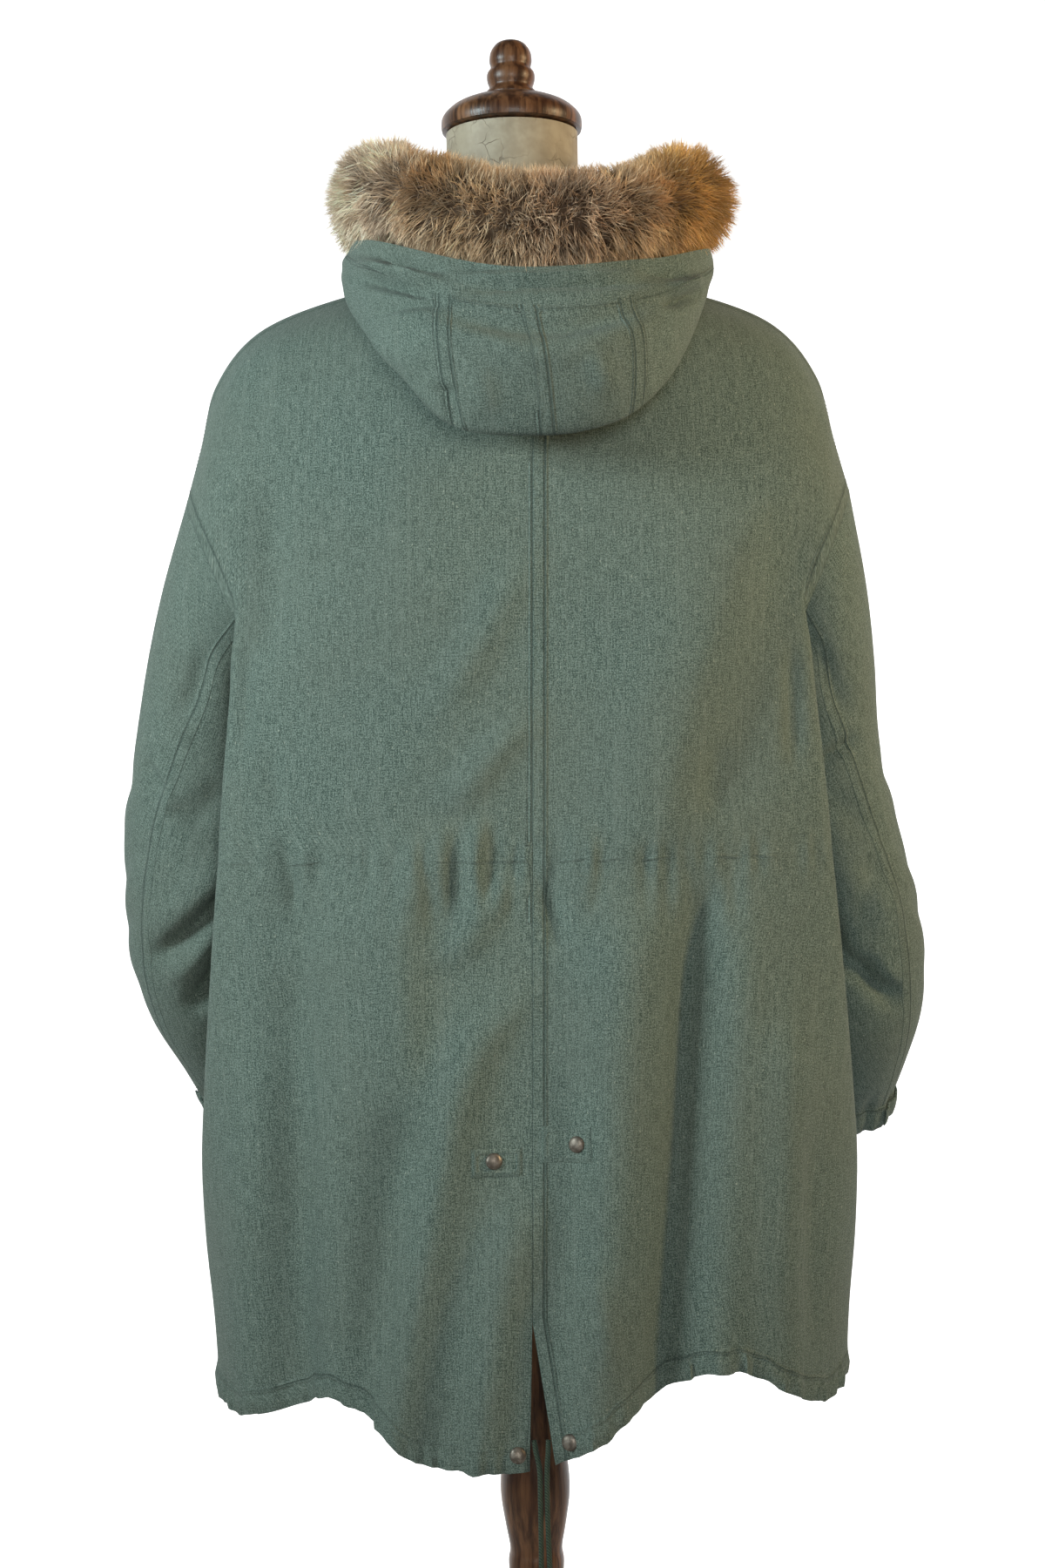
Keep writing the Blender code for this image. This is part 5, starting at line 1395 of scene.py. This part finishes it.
# Radius and height of a snap's cap.
SNAP_DOME = ((0, 0), (6.6, 0), (6.8, 0.6), (6.7, 1.2), (6.3, 1.8), (5.6, 2.4),
             (4.6, 2.9), (3.4, 3.3), (1.8, 3.6), (0, 3.7))
FRONT_SNAP_ZS = (1.275, 1.19, 1.035, 0.88, 0.725, 0.57)
FRONT_SNAP_X = 0.0125
FLY_HALF = 0.0345


def dress_snap(name, place, normal, look):
    """A domed cap that sits on the cloth at a place and faces along its normal."""
    vertices, faces = turn_solid(np.array(SNAP_DOME) / 1000, 32)
    facing = Vector(normal).to_track_quat("Z", "Y").to_matrix()
    declare(make_mesh(name + "_dome", vertices @ np.array(facing).T + place, faces, look), name)


def dress_closures(panels, look, metal):
    """Snap tabs, the snaps of the back, and the storm fly with its snaps."""
    back = Surface([panels["back_left"], panels["back_right"]])
    for side_name, left, right, low, high, snap_x, snap_z in SNAP_TABS:
        hits = np.array([[back.hit(x, z, -1) for x in np.linspace(left, right, 14)]
                         for z in np.linspace(low, high, 8)])
        points, normals = hits[:, :, 0], hits[:, :, 1]
        rim = np.minimum.reduce([from_edge(points, edge) for edge in EDGES])
        points = points + normals * (0.0004 + 0.0012 * ease(rim / 0.004))[..., None]
        seam = LONE_LINE + np.abs(rim - TAB_LINE)
        make_cloth("snap_tab_" + side_name, points, grid_normals(points), look, seam, wall=TAB_WALL)
        stitch("back", points, normals, EDGES, TAB_LINE)
        dress_snap("snap_" + side_name, *Surface([(points, normals)]).hit(snap_x, snap_z, -1), metal)
    for name, x, z in TAIL_SNAPS:
        place, normal = back.hit(x, z, -1)
        dress_snap(name, place + normal * 0.0002, normal, metal)
    STITCHES["back"] += [back.path(route) for route in BACK_LINES]
    columns = []
    steps = np.linspace(0, FLY_HALF, 8)
    for side, distances in (("right", steps[:0:-1]), ("left", steps)):
        columns += [edge_path(*panels["front_" + side], side, distance) for distance in distances]
    points = np.stack([column[0] for column in columns], axis=1)[:-2]
    normals = grid_normals(points)
    rim = np.minimum(from_edge(points, "left"), from_edge(points, "right"))
    points = points + normals * (0.0006 + 0.0022 * ease(rim / 0.006))[..., None]
    make_cloth("storm_fly", points, normals, look, LONE_LINE + np.abs(rim - FLY_LINE), wall=FLY_WALL)
    stitch("front", points, normals, ("left", "right"), FLY_LINE)
    fly = Surface([(points, normals)])
    for number, z in enumerate(FRONT_SNAP_ZS, 1):
        dress_snap("snap_front_%d" % number, *fly.hit(FRONT_SNAP_X, z, 1), metal)


# Stitched lines of the vent's facing and the tail tips, as X and height.
BACK_LINES = (
    ((-0.003, 0.589), (0.014, 0.589)),
    ((-0.019, 0.497), (-0.004, 0.499)),
    ((0.020, 0.506), (0.036, 0.512)),
)
CORD_RADIUS = 0.0021
CORDS = {
    "left": ((-0.4, -188, 492), (1, -190, 483), (3.6, -191, 470), (4, -191, 440), (3.8, -191, 390),
             (3, -191, 330), (2.4, -191, 290)),
    "right": ((11.2, -188, 492), (10.8, -190, 483), (9.8, -191, 470), (9.5, -191, 440), (10.6, -191, 390),
              (13.6, -191, 330), (16, -191, 285)),
}


def dress_cord(name, route, look):
    controls = np.array(route) / 1000
    points = spread(controls, 0, len(controls) - 1, 60) + ORIGIN_SHIFT
    curve = bpy.data.curves.new(name + "_braid", "CURVE")
    curve.dimensions = "3D"
    curve.bevel_depth = CORD_RADIUS
    curve.bevel_resolution = 4
    curve.use_fill_caps = True
    line = curve.splines.new("POLY")
    line.points.add(len(points) - 1)
    for point, place in zip(line.points, points):
        point.co = (*(float(v) for v in place), 1.0)
    curve.materials.append(look)
    made = declare(show(name + "_braid", curve), name)


def add_light(name, place, aim, size, energy, spread_angle, colour):
    lamp = bpy.data.lights.new(name, "AREA")
    lamp.shape = "RECTANGLE"
    lamp.size, lamp.size_y = size
    lamp.energy = energy
    lamp.spread = math.radians(spread_angle)
    lamp.color = colour
    made = show(name, lamp)
    made.location = place
    made.rotation_euler = (Vector(aim) - Vector(place)).to_track_quat("-Z", "Y").to_euler()


FLOOR_Z = -0.0005
COVE_START_Y = 3.0
COVE_RADIUS = 1.2


def floor_look():
    """Pale floor that glows towards the back, so that the background stays white."""
    look = Look("pale floor")
    place = look.add("ShaderNodeNewGeometry").outputs["Position"]
    depth = look.add("ShaderNodeSeparateXYZ", Vector=place).outputs["Y"]
    glow = look.ramp(depth, 0.35, 1.0, 0.0, 1.0)
    return look.finish(Base_Color=(0.80, 0.80, 0.80, 1), Roughness=0.9, Emission_Color=(1, 1, 1, 1),
                       Emission_Strength=glow)


def make_stage():
    """A pale floor that curves up behind, soft cool light from the left and warm from the right."""
    profile = [(y, FLOOR_Z) for y in (*np.linspace(-6.0, 2.9, 60), COVE_START_Y)]
    profile += [(COVE_START_Y + COVE_RADIUS * math.sin(turn), FLOOR_Z + COVE_RADIUS * (1 - math.cos(turn)))
                for turn in np.linspace(0.1, math.pi / 2, 16)]
    profile.append((4.2, 7.0))
    vertices = [(x, y, z) for y, z in profile for x in (-7.0, 7.0)]
    faces = [(2 * i, 2 * i + 1, 2 * i + 3, 2 * i + 2) for i in range(len(profile) - 1)]
    make_mesh("studio_floor", np.array(vertices) - ORIGIN_SHIFT, faces, floor_look(), 60)
    world = bpy.data.worlds.new("studio light")
    world.use_nodes = True
    sky = world.node_tree.nodes["Background"]
    sky.inputs["Color"].default_value = SKY_COLOUR
    sky.inputs["Strength"].default_value = SKY_STRENGTH
    bpy.context.scene.world = world
    for light in LIGHTS:
        add_light(*light)


LIGHTS = (
    ("cool left", (-2.05, -1.35, 1.80), (0, 0, 1.28), (0.6, 0.8), 11.6, 75, (0.82, 0.97, 1.0)),
    ("warm right", (2.30, -0.60, 1.80), (0, 0, 1.30), (0.4, 0.8), 7.8, 75, (1.0, 0.76, 0.44)),
    ("front fill", (0.2, -2.75, 1.35), (0.05, 0, 1.02), (1.0, 0.8), 3.9, 60, (0.97, 1.0, 0.97)),
)


SKY_COLOUR = (0.96, 0.99, 1.0, 1)
SKY_STRENGTH = 0.065
CAMERA_PLACE = (-0.0005, -2.1, 1.02)
CAMERA_ROLL = 0.995
CAMERA_LENS = 54.55


def make_camera():
    data = bpy.data.cameras.new("camera")
    data.lens = CAMERA_LENS
    data.sensor_fit = "VERTICAL"
    data.sensor_height = 36.0
    made = show("camera", data)
    turn = Matrix.Rotation(math.radians(90), 4, "X") @ Matrix.Rotation(math.radians(-CAMERA_ROLL), 4, "Z")
    place = Vector(CAMERA_PLACE) + Vector(ORIGIN_SHIFT)
    made.matrix_world = Matrix.Translation(place) @ turn
    bpy.context.scene.camera = made


cloth = cloth_look("sage slub cloth")
thread = plain_look("sewing thread", (0.088, 0.118, 0.098), 0.8)
wood = wood_look()
metal = brass_look()
braid = cord_look()
panels = dress_body(cloth)
for side, side_name in SIDES:
    dress_sleeve(side, side_name, cloth)
dress_hood(cloth)
dress_ruff()
dress_form(linen_look())
for name, profile in PROFILES.items():
    turned = turn_solid(rounded(np.array(profile) / 1000), 64)
    declare(make_mesh(name + "_turned", *turned, wood, 50), name)
dress_closures(panels, cloth, metal)
for side_name, route in CORDS.items():
    dress_cord("drawcord_" + side_name, route, braid)
for name, paths in STITCHES.items():
    make_stitches("stitching_" + name, paths, thread)
make_stage()
make_camera()
scene = bpy.context.scene
scene.view_settings.view_transform = "Standard"
scene.view_settings.look = "None"
